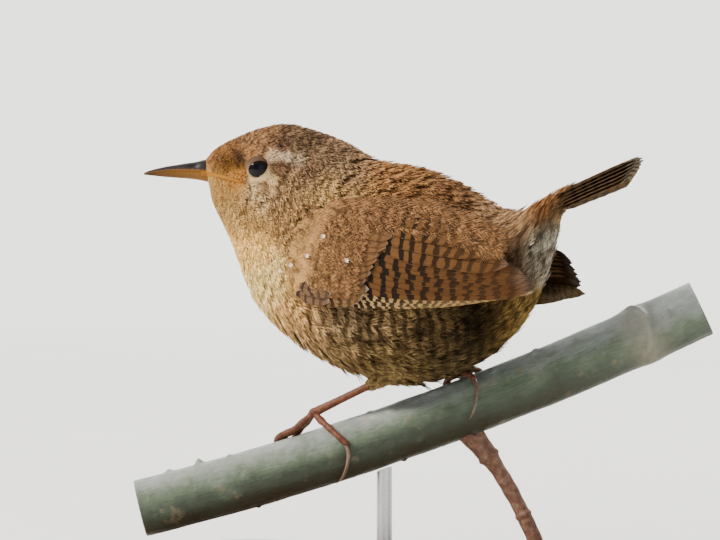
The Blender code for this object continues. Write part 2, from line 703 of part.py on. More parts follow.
def make_wing(tree, side, name):
    sheet = WingSheet(tree, side)
    pad = wing_pad(sheet)
    vanes = []
    for row, count, low_root, low_tip, high_root, high_tip, half, lift_root, lift_tip in WING_ROWS:
        if side > 0 and row in FAR_TIPS:
            low_tip, high_tip = FAR_TIPS[row]
        long = low_tip[0] - low_root[0] > 15
        for k in range(count):
            part = k / (count - 1)
            root = np.array(low_root) * (1 - part) + np.array(high_root) * part
            tip = np.array(low_tip) * (1 - part) + np.array(high_tip) * part
            vanes.append(wing_vane(sheet, root, tip, half, lift_root, lift_tip, long))
    boolean(pad, "UNION", vanes)
    return finished(keep_largest(pad), name, "wing_brown")


# The tail


def make_tail():
    axis = np.array([math.cos(TAIL_PITCH), 0, math.sin(TAIL_PITCH)])
    up = np.array([-math.sin(TAIL_PITCH), 0, math.cos(TAIL_PITCH)])
    root = np.array([TAIL_ROOT[0], 0, TAIL_ROOT[1]])
    vanes = []
    for index, length in enumerate(TAIL_LENGTHS):
        for side in (-1, 1):
            roof = math.radians(8 + 4.5 * index)
            across = np.array([0, side * math.cos(roof), 0]) - up * math.sin(roof)
            lift = np.cross(axis, across) * -side
            start = root + across * (0.7 + 0.2 * index) - up * (0.22 * index + (0.2 if side > 0 else 0))
            end = root + axis * length + across * (0.75 + TAIL_STEP_OUT * index)
            end = end - up * (TAIL_STEP_DOWN * index + (0.22 if side > 0 else 0))
            parts = np.array([0, 0.3, 0.6, 0.82, 0.94, 1.0])
            widths = vane_widths(parts, TAIL_HALF_WIDTH, 0.8)
            widths[0] = TAIL_HALF_WIDTH * 0.62
            outer, inner = [], []
            for part, width in zip(parts, widths):
                middle = start + (end - start) * part - up * 0.5 * part * part
                thick = 0.5 * (1 - 0.3 * part**4)
                row = [middle + across * width * place for place in (-1, 0, 1)]
                outer.append([p + lift * thick * k for p, k in zip(row, (0.45, 0.6, 0.45))])
                inner.append([p - lift * thick * 0.45 for p in row])
            vanes.append(slab("rectrix", outer, inner))
    first, rest = vanes[0], vanes[1:]
    boolean(first, "UNION", rest)
    places = np.linspace(TORSO_TO, len(SECTIONS) - 1, 8)
    rings = list(body_rings(places, grow=GAP))
    onward = (rings[-1] - rings[-2]).mean(0)
    rings[-1] = rings[-1] + onward / np.linalg.norm(onward) * GAP
    boolean(first, "DIFFERENCE", [loft("clear", rings)], "MANIFOLD")
    return finished(keep_largest(first), "tail", "tail_brown")


# The legs


def smooth_path(points, count):
    return between(points, np.linspace(0, len(points) - 1, count))


def make_leg(name, place, ankle_height, knee, toes, claws, cutters):
    """The scaled shank from the knee to the ankle, with four toes that hold the stem and their claws."""
    ankle, knee = round_stem(place, 90, ankle_height), np.array(knee, float)
    path = [knee + (ankle - knee) * k for k in np.linspace(0, 1, len(SHANK_SWELL))]
    shank = loft("shank", tube_rings(path, LEG_RADIUS * SHANK_SWELL, 10))
    joined = [sphere("hub", ankle, (0.95, 0.95, 0.85), 8, 10, axis="Z")]
    for toe, line in toes.items():
        points = [ankle] + [round_stem(place + s, turn, height) for s, turn, height in line]
        size = TOE_RADIUS * (1.08 if toe == "hind" else 1.0)
        joined.append(loft("toe", tube_rings(smooth_path(points, len(TOE_SWELL)), size * TOE_SWELL, 6)))
        nail = [points[-2] * 0.35 + points[-1] * 0.65]
        nail += [round_stem(place + s, turn, height) for s, turn, height in claws[toe]]
        path = smooth_path(nail, len(CLAW_TAPER))
        joined.append(loft("claw", tube_rings(path, CLAW_RADIUS * CLAW_TAPER, 5)))
    boolean(shank, "UNION", joined)
    if cutters:
        boolean(shank, "DIFFERENCE", cutters)
    return finished(keep_largest(shank), name, "leg_brown")


def make_thigh(name, top, knee, radii):
    """The feathered thigh where it comes out of the belly."""
    top, knee = np.array(top, float), np.array(knee, float)
    path = [top + (knee - top) * k for k in np.linspace(0, 1, 7)]
    thigh = loft("thigh", tube_rings(path, radii, 14))
    boolean(thigh, "DIFFERENCE", [fat_body(NECK_TO, TORSO_TO + 0.5)])
    return finished(keep_largest(thigh), name, "breast_buff")


def make_legs():
    top, knee = np.array(LEFT_THIGH_TOP), np.array(LEFT_KNEE)
    make_thigh("thigh_left", top, knee, (3.4, 3.3, 3.0, 2.6, 2.1, 1.6, 1.1))
    ankle = round_stem(LEFT_FOOT, 90, LEFT_ANKLE_HEIGHT)
    down = (ankle - knee) / np.linalg.norm(ankle - knee)
    make_leg("leg_left", LEFT_FOOT, LEFT_ANKLE_HEIGHT, knee + down * GAP, LEFT_TOES, LEFT_CLAWS, [])
    clear = [fat_body(NECK_TO, TORSO_TO + 1.5)]
    make_leg("leg_right", RIGHT_FOOT, RIGHT_ANKLE_HEIGHT, RIGHT_KNEE, RIGHT_TOES, RIGHT_CLAWS, clear)


def main():
    clear_scene()
    make_stem()
    make_stand()
    tree = body_tree()
    make_body(tree)
    make_bill()
    make_wing(tree, -1, "wing_left")
    make_wing(tree, 1, "wing_right")
    make_tail()
    make_legs()


main()
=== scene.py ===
"""Looks of a life-size wren on a cut stem: skin, feathers, bill, eyes, legs, stem, stand and studio.

Sizes are in millimetres in the tables and are turned to metres as a mesh is made. The row frame has +X
towards the tail, +Y towards the bird's right side and +Z up.
"""

import math

import bmesh
import bpy
import numpy as np
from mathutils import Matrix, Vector


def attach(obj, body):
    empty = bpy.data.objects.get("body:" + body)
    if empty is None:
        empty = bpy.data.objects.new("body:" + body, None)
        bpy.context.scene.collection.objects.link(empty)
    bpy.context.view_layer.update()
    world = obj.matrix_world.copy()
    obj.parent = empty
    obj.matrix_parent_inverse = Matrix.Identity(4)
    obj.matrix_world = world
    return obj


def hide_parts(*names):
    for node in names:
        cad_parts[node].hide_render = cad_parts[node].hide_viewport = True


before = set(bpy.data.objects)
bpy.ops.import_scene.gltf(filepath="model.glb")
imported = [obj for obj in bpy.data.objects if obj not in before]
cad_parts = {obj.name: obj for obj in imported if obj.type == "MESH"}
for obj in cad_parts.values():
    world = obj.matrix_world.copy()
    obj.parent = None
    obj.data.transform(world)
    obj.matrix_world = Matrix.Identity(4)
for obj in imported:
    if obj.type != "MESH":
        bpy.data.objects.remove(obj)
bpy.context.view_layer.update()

MM = 0.001

bl_info = {
    "name": "Wren on a stem",
    "version": (1, 0, 0),
    "blender": (4, 5, 0),
    "location": "View3D > Sidebar > Wren",
    "description": "Dresses the solids of a small brown bird with skin, feathers and a studio",
    "category": "Object",
}

# Sections of the body from the bill's root to the tail: X, Z of the top, X, Z of the bottom, half width.
# The head's are measured before the head is turned.
SECTIONS = np.array(
    (
        (-33.8, 76.0, -33.1, 71.1, 2.0),
        (-31.6, 78.1, -32.4, 67.9, 4.0),
        (-28.4, 79.8, -30.7, 64.3, 5.8),
        (-23.9, 81.6, -29.1, 60.7, 7.5),
        (-18.9, 82.4, -27.8, 57.1, 9.0),
        (-13.4, 81.1, -26.6, 53.5, 10.4),
        (-8.0, 79.0, -25.0, 49.9, 11.9),
        (-3.3, 76.5, -22.2, 46.3, 13.8),
        (1.9, 75.5, -17.5, 42.3, 15.7),
        (7.1, 74.5, -11.7, 38.9, 17.0),
        (11.7, 72.9, -4.9, 36.3, 17.2),
        (15.6, 70.9, 2.4, 34.9, 16.6),
        (19.1, 68.9, 9.8, 35.9, 15.0),
        (21.9, 67.2, 17.7, 39.8, 12.4),
        (24.7, 67.6, 25.4, 47.3, 9.4),
        (27.9, 69.1, 29.9, 57.4, 6.4),
        (31.1, 70.8, 31.6, 64.9, 4.3),
        (34.3, 72.2, 34.4, 68.0, 2.9),
    )
)
LAST = len(SECTIONS) - 1
STEM_YAW = math.radians(18)
HEAD_PIVOT_X = -9.5
YAW_FULL_AT, YAW_NONE_AT = 3.5, 9.0
COS, SIN = math.cos(STEM_YAW), math.sin(STEM_YAW)

# The stem
STEM_RADIUS = 5.15
STEM_START, STEM_END = -45.0, 56.0
STEM_MID, STEM_HEIGHT, STEM_SLOPE, STEM_BOW = 1.8, 26.9, 0.35, 0.00115
TWIG_PLACE, TWIG_END, TWIG_RADIUS = 11.2, (26.6, 6.4), 1.35
SCAR_PLACE = 45.5

# The eyes and the bill
EYE_X, EYE_Z, EYE_RADIUS, EYE_DEPTH = -24.1, 74.3, 2.4, 1.97
EYE_WIDE, EYE_TALL, EYE_TILT = 1.7, 1.36, math.radians(17)
LID_WIDTH = 1.1
BILL_ROOT_X = -34.1
BILL_PROFILE = np.array(
    (
        (-1.2, 75.9, 73.3, 71.7, 1.7),
        (0.0, 75.75, 73.55, 71.95, 1.65),
        (1.4, 75.4, 73.75, 72.2, 1.45),
        (3.2, 75.15, 73.85, 72.4, 1.22),
        (5.0, 74.85, 73.87, 72.52, 0.98),
        (6.8, 74.55, 73.82, 72.66, 0.76),
        (8.6, 74.15, 73.62, 72.85, 0.54),
        (10.0, 73.75, 73.4, 73.0, 0.36),
        (10.75, 73.4, 73.2, 73.08, 0.1),
    )
)

# The wing and the tail
WING_HALF_WIDTH, WING_MID_X, WING_MID_Z = 16.9, 4.0, 55.0
WING_ROUND_X, WING_ROUND_Z = 0.0115, 0.024
TAIL_PITCH = math.radians(25.3)
TAIL_ROOT = (34.0, 71.2)
TAIL_LENGTHS = (14.0, 13.7, 13.2, 12.6, 11.8, 10.9)
TAIL_COVERED = 6.0  # of each tail feather, under the coverts


# Small helpers


def smooth_step(low, high, value):
    """0 below low, 1 above high, and an S curve between."""
    part = np.clip((np.asarray(value, float) - low) / (high - low), 0, 1)
    return part * part * (3 - 2 * part)


def between(rows, place):
    """Catmull-Rom interpolation of the rows of a table at fractional row numbers."""
    rows = np.asarray(rows, float)
    place = np.clip(np.asarray(place, float), 0, len(rows) - 1)
    first = np.minimum(place.astype(int), len(rows) - 2)
    part = (place - first)[..., None]
    before = rows[np.maximum(first - 1, 0)]
    start, end = rows[first], rows[first + 1]
    after = rows[np.minimum(first + 2, len(rows) - 1)]
    return 0.5 * (
        2 * start
        + (end - before) * part
        + (2 * before - 5 * start + 4 * end - after) * part**2
        + (3 * start - before - 3 * end + after) * part**3
    )


def hash_noise(cells, seed):
    """One repeatable random number in 0..1 for each row of whole numbers."""
    mix = cells.astype(np.int64) * np.array([73856093, 19349663, 83492791])
    key = (mix[..., 0] ^ mix[..., 1] ^ mix[..., 2]) + seed * 2654435761
    key = (key ^ (key >> 13)) * 1274126177
    return ((key ^ (key >> 16)) & 0xFFFFFF) / float(0xFFFFFF)


def soft_noise(points, scale, seed=0):
    """Smooth noise in 0..1: random values on a lattice of cells of the given size, blended between them."""
    place = np.asarray(points, float) / scale
    cell = np.floor(place).astype(np.int64)
    part = place - cell
    part = part * part * (3 - 2 * part)
    total = 0.0
    for corner in np.ndindex(2, 2, 2):
        corner = np.array(corner)
        weight = np.prod(np.where(corner, part, 1 - part), axis=-1)
        total = total + weight * hash_noise(cell + corner, seed)
    return total


def make_mesh(name, points, faces):
    """A mesh object at the origin from points in millimetres and an array of triangles or quads."""
    points, faces = np.asarray(points, np.float32) * MM, np.asarray(faces, np.int32)
    mesh = bpy.data.meshes.new(name)
    mesh.vertices.add(len(points))
    mesh.vertices.foreach_set("co", points.ravel())
    corners = faces.shape[1]
    mesh.loops.add(faces.size)
    mesh.loops.foreach_set("vertex_index", faces.ravel())
    mesh.polygons.add(len(faces))
    mesh.polygons.foreach_set("loop_start", np.arange(0, faces.size, corners, dtype=np.int32))
    mesh.update(calc_edges=True)
    mesh.validate()
    made = bpy.data.objects.new(name, mesh)
    bpy.context.scene.collection.objects.link(made)
    mesh.shade_smooth()
    return made


def put_map(thing, uv, name="OFBake"):
    """A UV map from one coordinate for each vertex."""
    layer = thing.data.uv_layers.new(name=name)
    corner = np.empty(len(thing.data.loops), np.int32)
    thing.data.loops.foreach_get("vertex_index", corner)
    layer.data.foreach_set("uv", np.asarray(uv, np.float32)[corner].ravel())


def put_values(thing, name, values):
    """A point attribute: a number, a vector or a colour for each vertex."""
    values = np.asarray(values, np.float32)
    width = 1 if values.ndim == 1 else values.shape[1]
    kind, field = {1: ("FLOAT", "value"), 3: ("FLOAT_VECTOR", "vector"), 4: ("FLOAT_COLOR", "color")}[width]
    thing.data.attributes.new(name, kind, "POINT").data.foreach_set(field, values.ravel())


def colour_rows(values):
    """Colours with a full alpha beside them."""
    return np.column_stack([values, np.ones(len(values))])


def grid_faces(rows, columns, wrap=False):
    """Quads over a grid of rows by columns of points; wrap closes each row on itself."""
    index = np.arange(rows * columns).reshape(rows, columns)
    after = np.roll(index, -1, 1)
    kept = slice(None) if wrap else slice(-1)
    return np.stack([index[:-1, kept], after[:-1, kept], after[1:, kept], index[1:, kept]], -1).reshape(-1, 4)


def facing_out(thing):
    """Turns a closed mesh's faces outwards."""
    work = bmesh.new()
    work.from_mesh(thing.data)
    bmesh.ops.recalc_face_normals(work, faces=work.faces)
    work.to_mesh(thing.data)
    work.free()


def quads_to_triangles(quads):
    """Each quad split along the same diagonal."""
    return np.concatenate([quads[:, [0, 1, 2]], quads[:, [0, 2, 3]]])


def tube_mesh(name, rings):
    """A closed tube from a grid of points, rings by sides, with a point in the middle of each end."""
    rows, sides = rings.shape[:2]
    flat = rings.reshape(-1, 3)
    ring = np.arange(sides)
    low = (rows - 1) * sides
    first = np.stack([np.full(sides, len(flat)), (ring + 1) % sides, ring], -1)
    last = np.stack([np.full(sides, len(flat) + 1), low + ring, low + (ring + 1) % sides], -1)
    points = np.concatenate([flat, [rings[0].mean(0)], [rings[-1].mean(0)]])
    faces = np.concatenate([quads_to_triangles(grid_faces(rows, sides, True)), first, last])
    thing = make_mesh(name, points, faces)
    facing_out(thing)
    return thing


def with_ends(values):
    """Values for a tube's rings, with the first and the last again for the points in its ends."""
    return np.concatenate([values, values[:1], values[-1:]])


def circle(count):
    """Angles once round, without the last."""
    return np.linspace(0, 2 * math.pi, count, endpoint=False)


def fitted(thing, material, slot, *nodes):
    """A finished piece: its material, the body it rides on, its colour slot, which is not used, and the nodes
    it replaces.
    """
    thing.data.materials.append(material)
    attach(thing, "root")
    if nodes:
        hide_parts(*nodes)
    return thing


# Shader maths


class Socket:
    """A socket of a material's nodes, with the operators that add Math nodes."""

    def __init__(self, tree, socket):
        self.tree, self.socket = tree, socket

    def math(self, operation, *values):
        return add_node(self.tree, "ShaderNodeMath", {"operation": operation}, dict(enumerate(values)))

    def __add__(self, other):
        return self.math("ADD", self, other)

    __radd__ = __add__

    def __mul__(self, other):
        return self.math("MULTIPLY", self, other)

    __rmul__ = __mul__

    def __sub__(self, other):
        return self.math("SUBTRACT", self, other)

    def __rsub__(self, other):
        return self.math("SUBTRACT", other, self)

    def __truediv__(self, other):
        return self.math("DIVIDE", self, other)

    def sine(self):
        return self.math("SINE", self)

    def absolute(self):
        return self.math("ABSOLUTE", self)

    def clamped(self):
        """Held between 0 and 1."""
        return self.math("MAXIMUM", self.math("MINIMUM", self, 1.0), 0.0)


def add_node(tree, kind, settings=None, inputs=None, output=0):
    """Adds a node, sets its settings, fills its sockets and returns one of its outputs."""
    node = tree.nodes.new(kind)
    for key, value in (settings or {}).items():
        if key == "stops":
            ramp = node.color_ramp
            while len(ramp.elements) < len(value):
                ramp.elements.new(0.5)
            for element, (place, colour) in zip(ramp.elements, value):
                element.position = place
                element.color = (*colour, 1)
        else:
            setattr(node, key, value)
    for key, value in (inputs or {}).items():
        if isinstance(value, Socket):
            tree.links.new(value.socket, node.inputs[key])
        else:
            node.inputs[key].default_value = value
    return Socket(tree, node.outputs[output])


class Finish:
    """A material with one Principled shader, and short ways to make its patterns."""

    def __init__(self, name, **values):
        self.material = bpy.data.materials.new(name)
        self.material.use_nodes = True
        self.tree = self.material.node_tree
        self.shader = self.tree.nodes["Principled BSDF"]
        for key, value in values.items():
            self.shader.inputs[key.replace("_", " ")].default_value = value

    def node(self, kind, settings=None, inputs=None, output=0):
        return add_node(self.tree, kind, settings, inputs, output)

    def attribute(self, name, output):
        return self.node("ShaderNodeAttribute", {"attribute_name": name}, {}, output)

    def place(self):
        """Object coordinates in millimetres."""
        spot = self.node("ShaderNodeTexCoord", {}, {}, "Object")
        return self.node("ShaderNodeVectorMath", {"operation": "SCALE"}, {0: spot, "Scale": 1000.0})

    def noise(self, vector, scale, detail=2.0, rough=0.5):
        inputs = {"Vector": vector, "Scale": scale, "Detail": detail, "Roughness": rough}
        return self.node("ShaderNodeTexNoise", {}, inputs)

    def parts(self, vector):
        """The X, Y and Z of a vector."""
        split = self.node("ShaderNodeSeparateXYZ", {}, {0: vector}).socket.node
        return [Socket(self.tree, output) for output in split.outputs]

    def joined(self, x, y, z):
        return self.node("ShaderNodeCombineXYZ", {}, {0: x, 1: y, 2: z})

    def ramp(self, value, stops):
        return self.node("ShaderNodeValToRGB", {"stops": stops}, {0: value})

    def level(self, value, low, high):
        """A number that rises from 0 at low to 1 at high."""
        return self.node("ShaderNodeRGBToBW", {}, {0: self.ramp(value, ((low, grey(0)), (high, grey(1))))})

    def mix(self, factor, first, second, blend="MIX"):
        """A colour between two colours."""
        inputs = {0: factor, 6: as_colour(first), 7: as_colour(second)}
        return self.node("ShaderNodeMix", {"data_type": "RGBA", "blend_type": blend}, inputs, 2)

    def bump(self, height, strength, distance=0.0002):
        return self.node("ShaderNodeBump", {}, {"Strength": strength, "Distance": distance, "Height": height})

    def feed(self, **sockets):
        for key, value in sockets.items():
            self.tree.links.new(value.socket, self.shader.inputs[key.replace("_", " ")])
        return self.material


def as_colour(value):
    """A socket as it is, or a plain colour with its alpha."""
    return value if isinstance(value, Socket) else (*value, 1)


def grey(value):
    return (value,) * 3


def scaled(colour, factor):
    """A colour made darker or lighter."""
    return tuple(part * factor for part in colour)


def shared(name, maker, *values):
    """The material of that name, made the first time it is asked for."""
    return bpy.data.materials.get(name) or maker(name, *values)


# The body's surface


def turned_head(points, place):
    """Turns points about the head's pivot by the share of its yaw that their section has."""
    angle = STEM_YAW * (1 - smooth_step(YAW_FULL_AT, YAW_NONE_AT, place))
    x, y = points[..., 0] - HEAD_PIVOT_X, points[..., 1]
    cos, sin = np.cos(angle), np.sin(angle)
    return np.stack([HEAD_PIVOT_X + x * cos - y * sin, x * sin + y * cos, points[..., 2]], axis=-1)


def body_surface(place, turn, grow):
    """The body: at an angle round it, the ellipse between a section's top and bottom, grown by a depth."""
    place, turn, grow = np.broadcast_arrays(place, turn, grow)
    rows = between(SECTIONS, place)
    extra = np.maximum(place - LAST, 0)[..., None]
    top, bottom, half = rows[..., 0:2], rows[..., 2:4], rows[..., 4]
    top, bottom = top + extra * (3.2, 1.4), bottom + extra * (3.2, 1.4)
    height = np.linalg.norm(top - bottom, axis=-1)[..., None]
    along = (top - bottom) / height
    grow = np.asarray(grow, float)[..., None]
    top, bottom = top + along * grow, bottom - along * grow
    up = (1 + np.sin(turn)) / 2
    x = bottom[..., 0] + (top - bottom)[..., 0] * up
    z = bottom[..., 1] + (top - bottom)[..., 1] * up
    y = (half + grow[..., 0]) * np.cos(turn)
    return turned_head(np.stack([x, y, z], axis=-1), place)


def picture_place(place, turn):
    """Where the left-hand twin of a point on the body lies in the picture: across and up, in millimetres."""
    twin = np.where(np.cos(turn) > 0, math.pi - turn, turn)
    point = body_surface(place, twin, 0.0)
    return np.stack([point[..., 0] * COS + point[..., 1] * SIN, point[..., 2]], axis=-1)


def head_point(x, y, z):
    """A point of the head in its own measure, turned with the head."""
    return turned_head(np.stack(np.broadcast_arrays(x, y, z), axis=-1).astype(float), 0.0)


def head_side(x, z):
    """Half width of the head at x, z in its own measure, solved for the section through that point."""
    x, z = np.broadcast_arrays(np.asarray(x, float), np.asarray(z, float))
    low, high = np.zeros(x.shape), np.full(x.shape, 8.0)
    for _ in range(40):
        mid = (low + high) / 2
        rows = between(SECTIONS, mid)
        top_x, top_z, low_x, low_z = (rows[..., k] for k in range(4))
        ahead = (top_x - low_x) * (z - low_z) - (top_z - low_z) * (x - low_x) > 0
        low, high = np.where(ahead, low, mid), np.where(ahead, mid, high)
    rows = between(SECTIONS, mid)
    up = (z - rows[..., 3]) / (rows[..., 1] - rows[..., 3])
    return rows[..., 4] * np.sqrt(np.clip(1 - (2 * up - 1) ** 2, 0, 1))


BAR_PERIOD = 2.15
RICHNESS = 1.3

# Plumage colours. Each patch: across and up in the picture, radius, light colour, dark colour, then how much
# of the dark there is, how strongly it is barred, and how much of it is fine mottling.

PATCHES = (
    ("forehead", -30.5, 78.0, 2.2, (0.348, 0.194, 0.086), (0.103, 0.057, 0.029), 0.42, 0.0, 0.7),
    ("crown", -23.5, 81.0, 3.2, (0.385, 0.232, 0.126), (0.121, 0.072, 0.045), 0.45, 0.0, 0.7),
    ("hind_crown", -14.0, 81.0, 3.6, (0.228, 0.153, 0.093), (0.095, 0.062, 0.039), 0.5, 0.0, 0.7),
    ("nape", -8.0, 77.0, 4.0, (0.419, 0.289, 0.176), (0.185, 0.124, 0.081), 0.48, 0.0, 0.6),
    ("brow_front", -25.6, 77.4, 1.0, (0.52, 0.3, 0.14), (0.2, 0.11, 0.06), 0.3, 0.0, 0.5),
    ("over_brow", -19.0, 78.9, 1.2, (0.25, 0.16, 0.1), (0.12, 0.075, 0.05), 0.6, 0.0, 0.5),
    ("brow", -20.8, 76.9, 0.75, (0.662, 0.52, 0.355), (0.331, 0.214, 0.127), 0.08, 0.0, 0.8),
    ("brow_middle", -18.8, 76.7, 0.8, (0.68, 0.544, 0.398), (0.297, 0.192, 0.12), 0.1, 0.0, 0.8),
    ("brow_end", -16.4, 76.0, 0.95, (0.578, 0.468, 0.328), (0.212, 0.136, 0.08), 0.2, 0.0, 0.8),
    ("eye_stripe", -19.6, 74.9, 0.9, (0.24, 0.15, 0.09), (0.1, 0.06, 0.04), 0.65, 0.0, 0.5),
    ("behind_ear", -15.5, 74.0, 1.8, (0.34, 0.22, 0.135), (0.14, 0.085, 0.055), 0.55, 0.0, 0.7),
    ("lores", -29.0, 75.4, 1.7, (0.171, 0.094, 0.028), (0.059, 0.032, 0.012), 0.42, 0.0, 0.7),
    ("lore_spot", -26.9, 76.6, 0.8, (0.13, 0.07, 0.04), (0.05, 0.03, 0.02), 0.8, 0.0, 0.5),
    ("gape_side", -28.0, 72.3, 1.3, (0.52, 0.27, 0.09), (0.24, 0.12, 0.05), 0.3, 0.0, 0.6),
    ("under_eye", -23.8, 72.0, 0.9, (0.62, 0.46, 0.27), (0.2, 0.12, 0.063), 0.25, 0.0, 0.8),
    ("cheek", -22.5, 69.5, 2.4, (0.638, 0.482, 0.28), (0.209, 0.129, 0.07), 0.42, 0.0, 1.0),
    ("ear", -16.5, 71.0, 2.8, (0.481, 0.341, 0.183), (0.167, 0.105, 0.059), 0.48, 0.0, 1.0),
    ("chin", -30.5, 70.4, 2.2, (0.427, 0.273, 0.109), (0.207, 0.115, 0.043), 0.2, 0.0, 0.7),
    ("throat", -27.0, 65.5, 3.2, (0.488, 0.332, 0.154), (0.189, 0.109, 0.048), 0.26, 0.0, 1.0),
    ("neck_side", -17.0, 65.5, 3.4, (0.605, 0.403, 0.2), (0.206, 0.122, 0.063), 0.46, 0.0, 1.0),
    ("breast_top", -27.0, 59.5, 3.6, (0.95, 0.655, 0.269), (0.567, 0.338, 0.127), 0.16, 0.0, 0.22),
    ("breast", -23.5, 52.0, 4.4, (0.95, 0.774, 0.386), (0.708, 0.387, 0.169), 0.16, 0.0, 0.2),
    ("breast_side", -17.5, 49.0, 3.6, (0.761, 0.498, 0.237), (0.323, 0.19, 0.086), 0.28, 0.1, 0.35),
    ("breast_low", -15.5, 43.5, 3.8, (0.609, 0.42, 0.225), (0.21, 0.125, 0.066), 0.34, 0.2, 0.5),
    ("shoulder", -10.0, 67.0, 4.2, (0.683, 0.473, 0.217), (0.279, 0.182, 0.092), 0.4, 0.0, 0.5),
    ("mantle", 1.5, 71.5, 5.0, (0.405, 0.231, 0.105), (0.225, 0.125, 0.061), 0.38, 0.0, 0.3),
    ("back", 11.5, 68.5, 4.6, (0.264, 0.15, 0.073), (0.136, 0.078, 0.044), 0.4, 0.05, 0.3),
    ("rump", 19.5, 66.0, 4.2, (0.562, 0.379, 0.216), (0.265, 0.174, 0.114), 0.38, 0.15, 0.3),
    ("upper_coverts", 28.0, 69.5, 3.4, (0.36, 0.196, 0.084), (0.14, 0.075, 0.038), 0.42, 0.4, 0.3),
    ("flank_front", -9.5, 47.5, 3.4, (0.503, 0.368, 0.216), (0.098, 0.064, 0.04), 0.45, 0.9, 0.35),
    ("flank", -1.0, 46.5, 4.2, (0.483, 0.346, 0.183), (0.063, 0.041, 0.024), 0.48, 1.0, 0.3),
    ("flank_rear", 8.0, 46.0, 4.4, (0.28, 0.196, 0.098), (0.035, 0.025, 0.015), 0.55, 0.9, 0.4),
    # Painted shadow: the next patch is near black on the rear flank under the wing's lower edge, where the
    # wing's shadow falls, over the flank's own dark plumage.
    ("dark_flank", 16.0, 47.5, 3.8, (0.018, 0.012, 0.005), (0.003, 0.002, 0.002), 0.7, 0.5, 0.5),
    ("belly_front", -9.5, 40.5, 3.6, (0.4, 0.285, 0.149), (0.12, 0.075, 0.039), 0.42, 0.3, 1.0),
    ("belly", 0.5, 38.5, 4.2, (0.354, 0.263, 0.127), (0.093, 0.061, 0.03), 0.48, 0.35, 1.0),
    ("belly_rear", 10.0, 39.5, 4.2, (0.168, 0.126, 0.066), (0.034, 0.024, 0.014), 0.52, 0.4, 1.0),
    ("vent", 20.5, 48.0, 3.8, (0.45, 0.318, 0.128), (0.09, 0.059, 0.026), 0.5, 0.4, 0.9),
    ("under_tail", 27.5, 59.0, 3.0, (0.807, 0.76, 0.614), (0.12, 0.075, 0.045), 0.5, 0.6, 1.0),
    ("tail_side", 31.5, 66.5, 2.2, (0.52, 0.375, 0.224), (0.13, 0.083, 0.053), 0.4, 0.6, 0.7),
    ("rump_side", 20.5, 58.0, 3.6, (0.24, 0.149, 0.082), (0.07, 0.046, 0.031), 0.5, 0.3, 0.6),
)


def patch_values(spot):
    """The patches' values blended at the given places, by weights that are a bell round each middle."""
    table = np.array([[*p[4], *p[5], *p[6:]] for p in PATCHES])
    middles = np.array([[p[1], p[2], p[3]] for p in PATCHES])
    flat = spot.reshape(-1, 2)
    total, weights = np.zeros((len(flat), table.shape[1])), np.full(len(flat), 1e-12)
    for (across, up, radius), row in zip(middles, table):
        far = ((flat[:, 0] - across) ** 2 + (flat[:, 1] - up) ** 2) / radius**2
        weight = np.exp(-far) / radius
        total += weight[:, None] * row
        weights += weight
    return (total / weights[:, None]).reshape(*spot.shape[:-1], -1)


def richer(colour, power):
    """Colours moved away from their own grey by a power of their ratio to it."""
    grey = colour.mean(-1, keepdims=True)
    return grey * (colour / grey) ** power


def plumage(spot, shade, seed, rim):
    """Feather colour at a place in the picture: light and dark blended by two scales of mottling.

    shade is each feather's own share of dark, and rim rises from 0 on its shaft to 1 at its edge, which is
    darker where the patch is mottled.
    """
    values = patch_values(spot)
    light, dark = values[..., 0:3], values[..., 3:6]
    amount, mottled = values[..., 6], values[..., 8]
    where = np.concatenate([spot, seed[..., None]], axis=-1)
    coarse = soft_noise(where * (1, 1, 3), 1.3, 3) - 0.5
    fine = soft_noise(where * (1, 1, 5), 0.55, 7) - 0.5
    share = amount + mottled * (0.7 * coarse + 0.5 * fine + 0.42 * (rim - 0.5))
    share = share + (0.08 + 0.2 * mottled) * shade
    share = smooth_step(0.05, 0.95, share)[..., None]
    return richer(light * (1 - share) + dark * share, RICHNESS)


# Feathers of the body: each is a fan of tapering barbs on its shaft, laid on a surface


BARB_FACES = np.array(
    (
        (0, 2, 1), (0, 1, 4), (0, 4, 3), (1, 2, 5), (1, 5, 4),
        (2, 0, 3), (2, 3, 5), (3, 4, 6), (4, 5, 6), (5, 3, 6),
    )
)


BARB_POINTS = 7
PIECE_TRIANGLES = 190_000  # the most triangles in one mesh of feathers; a little under what one piece may have


def per_feather(values):
    """One value for each feather, shaped to spread over its barbs and their points."""
    return np.asarray(values)[:, None, None, None]


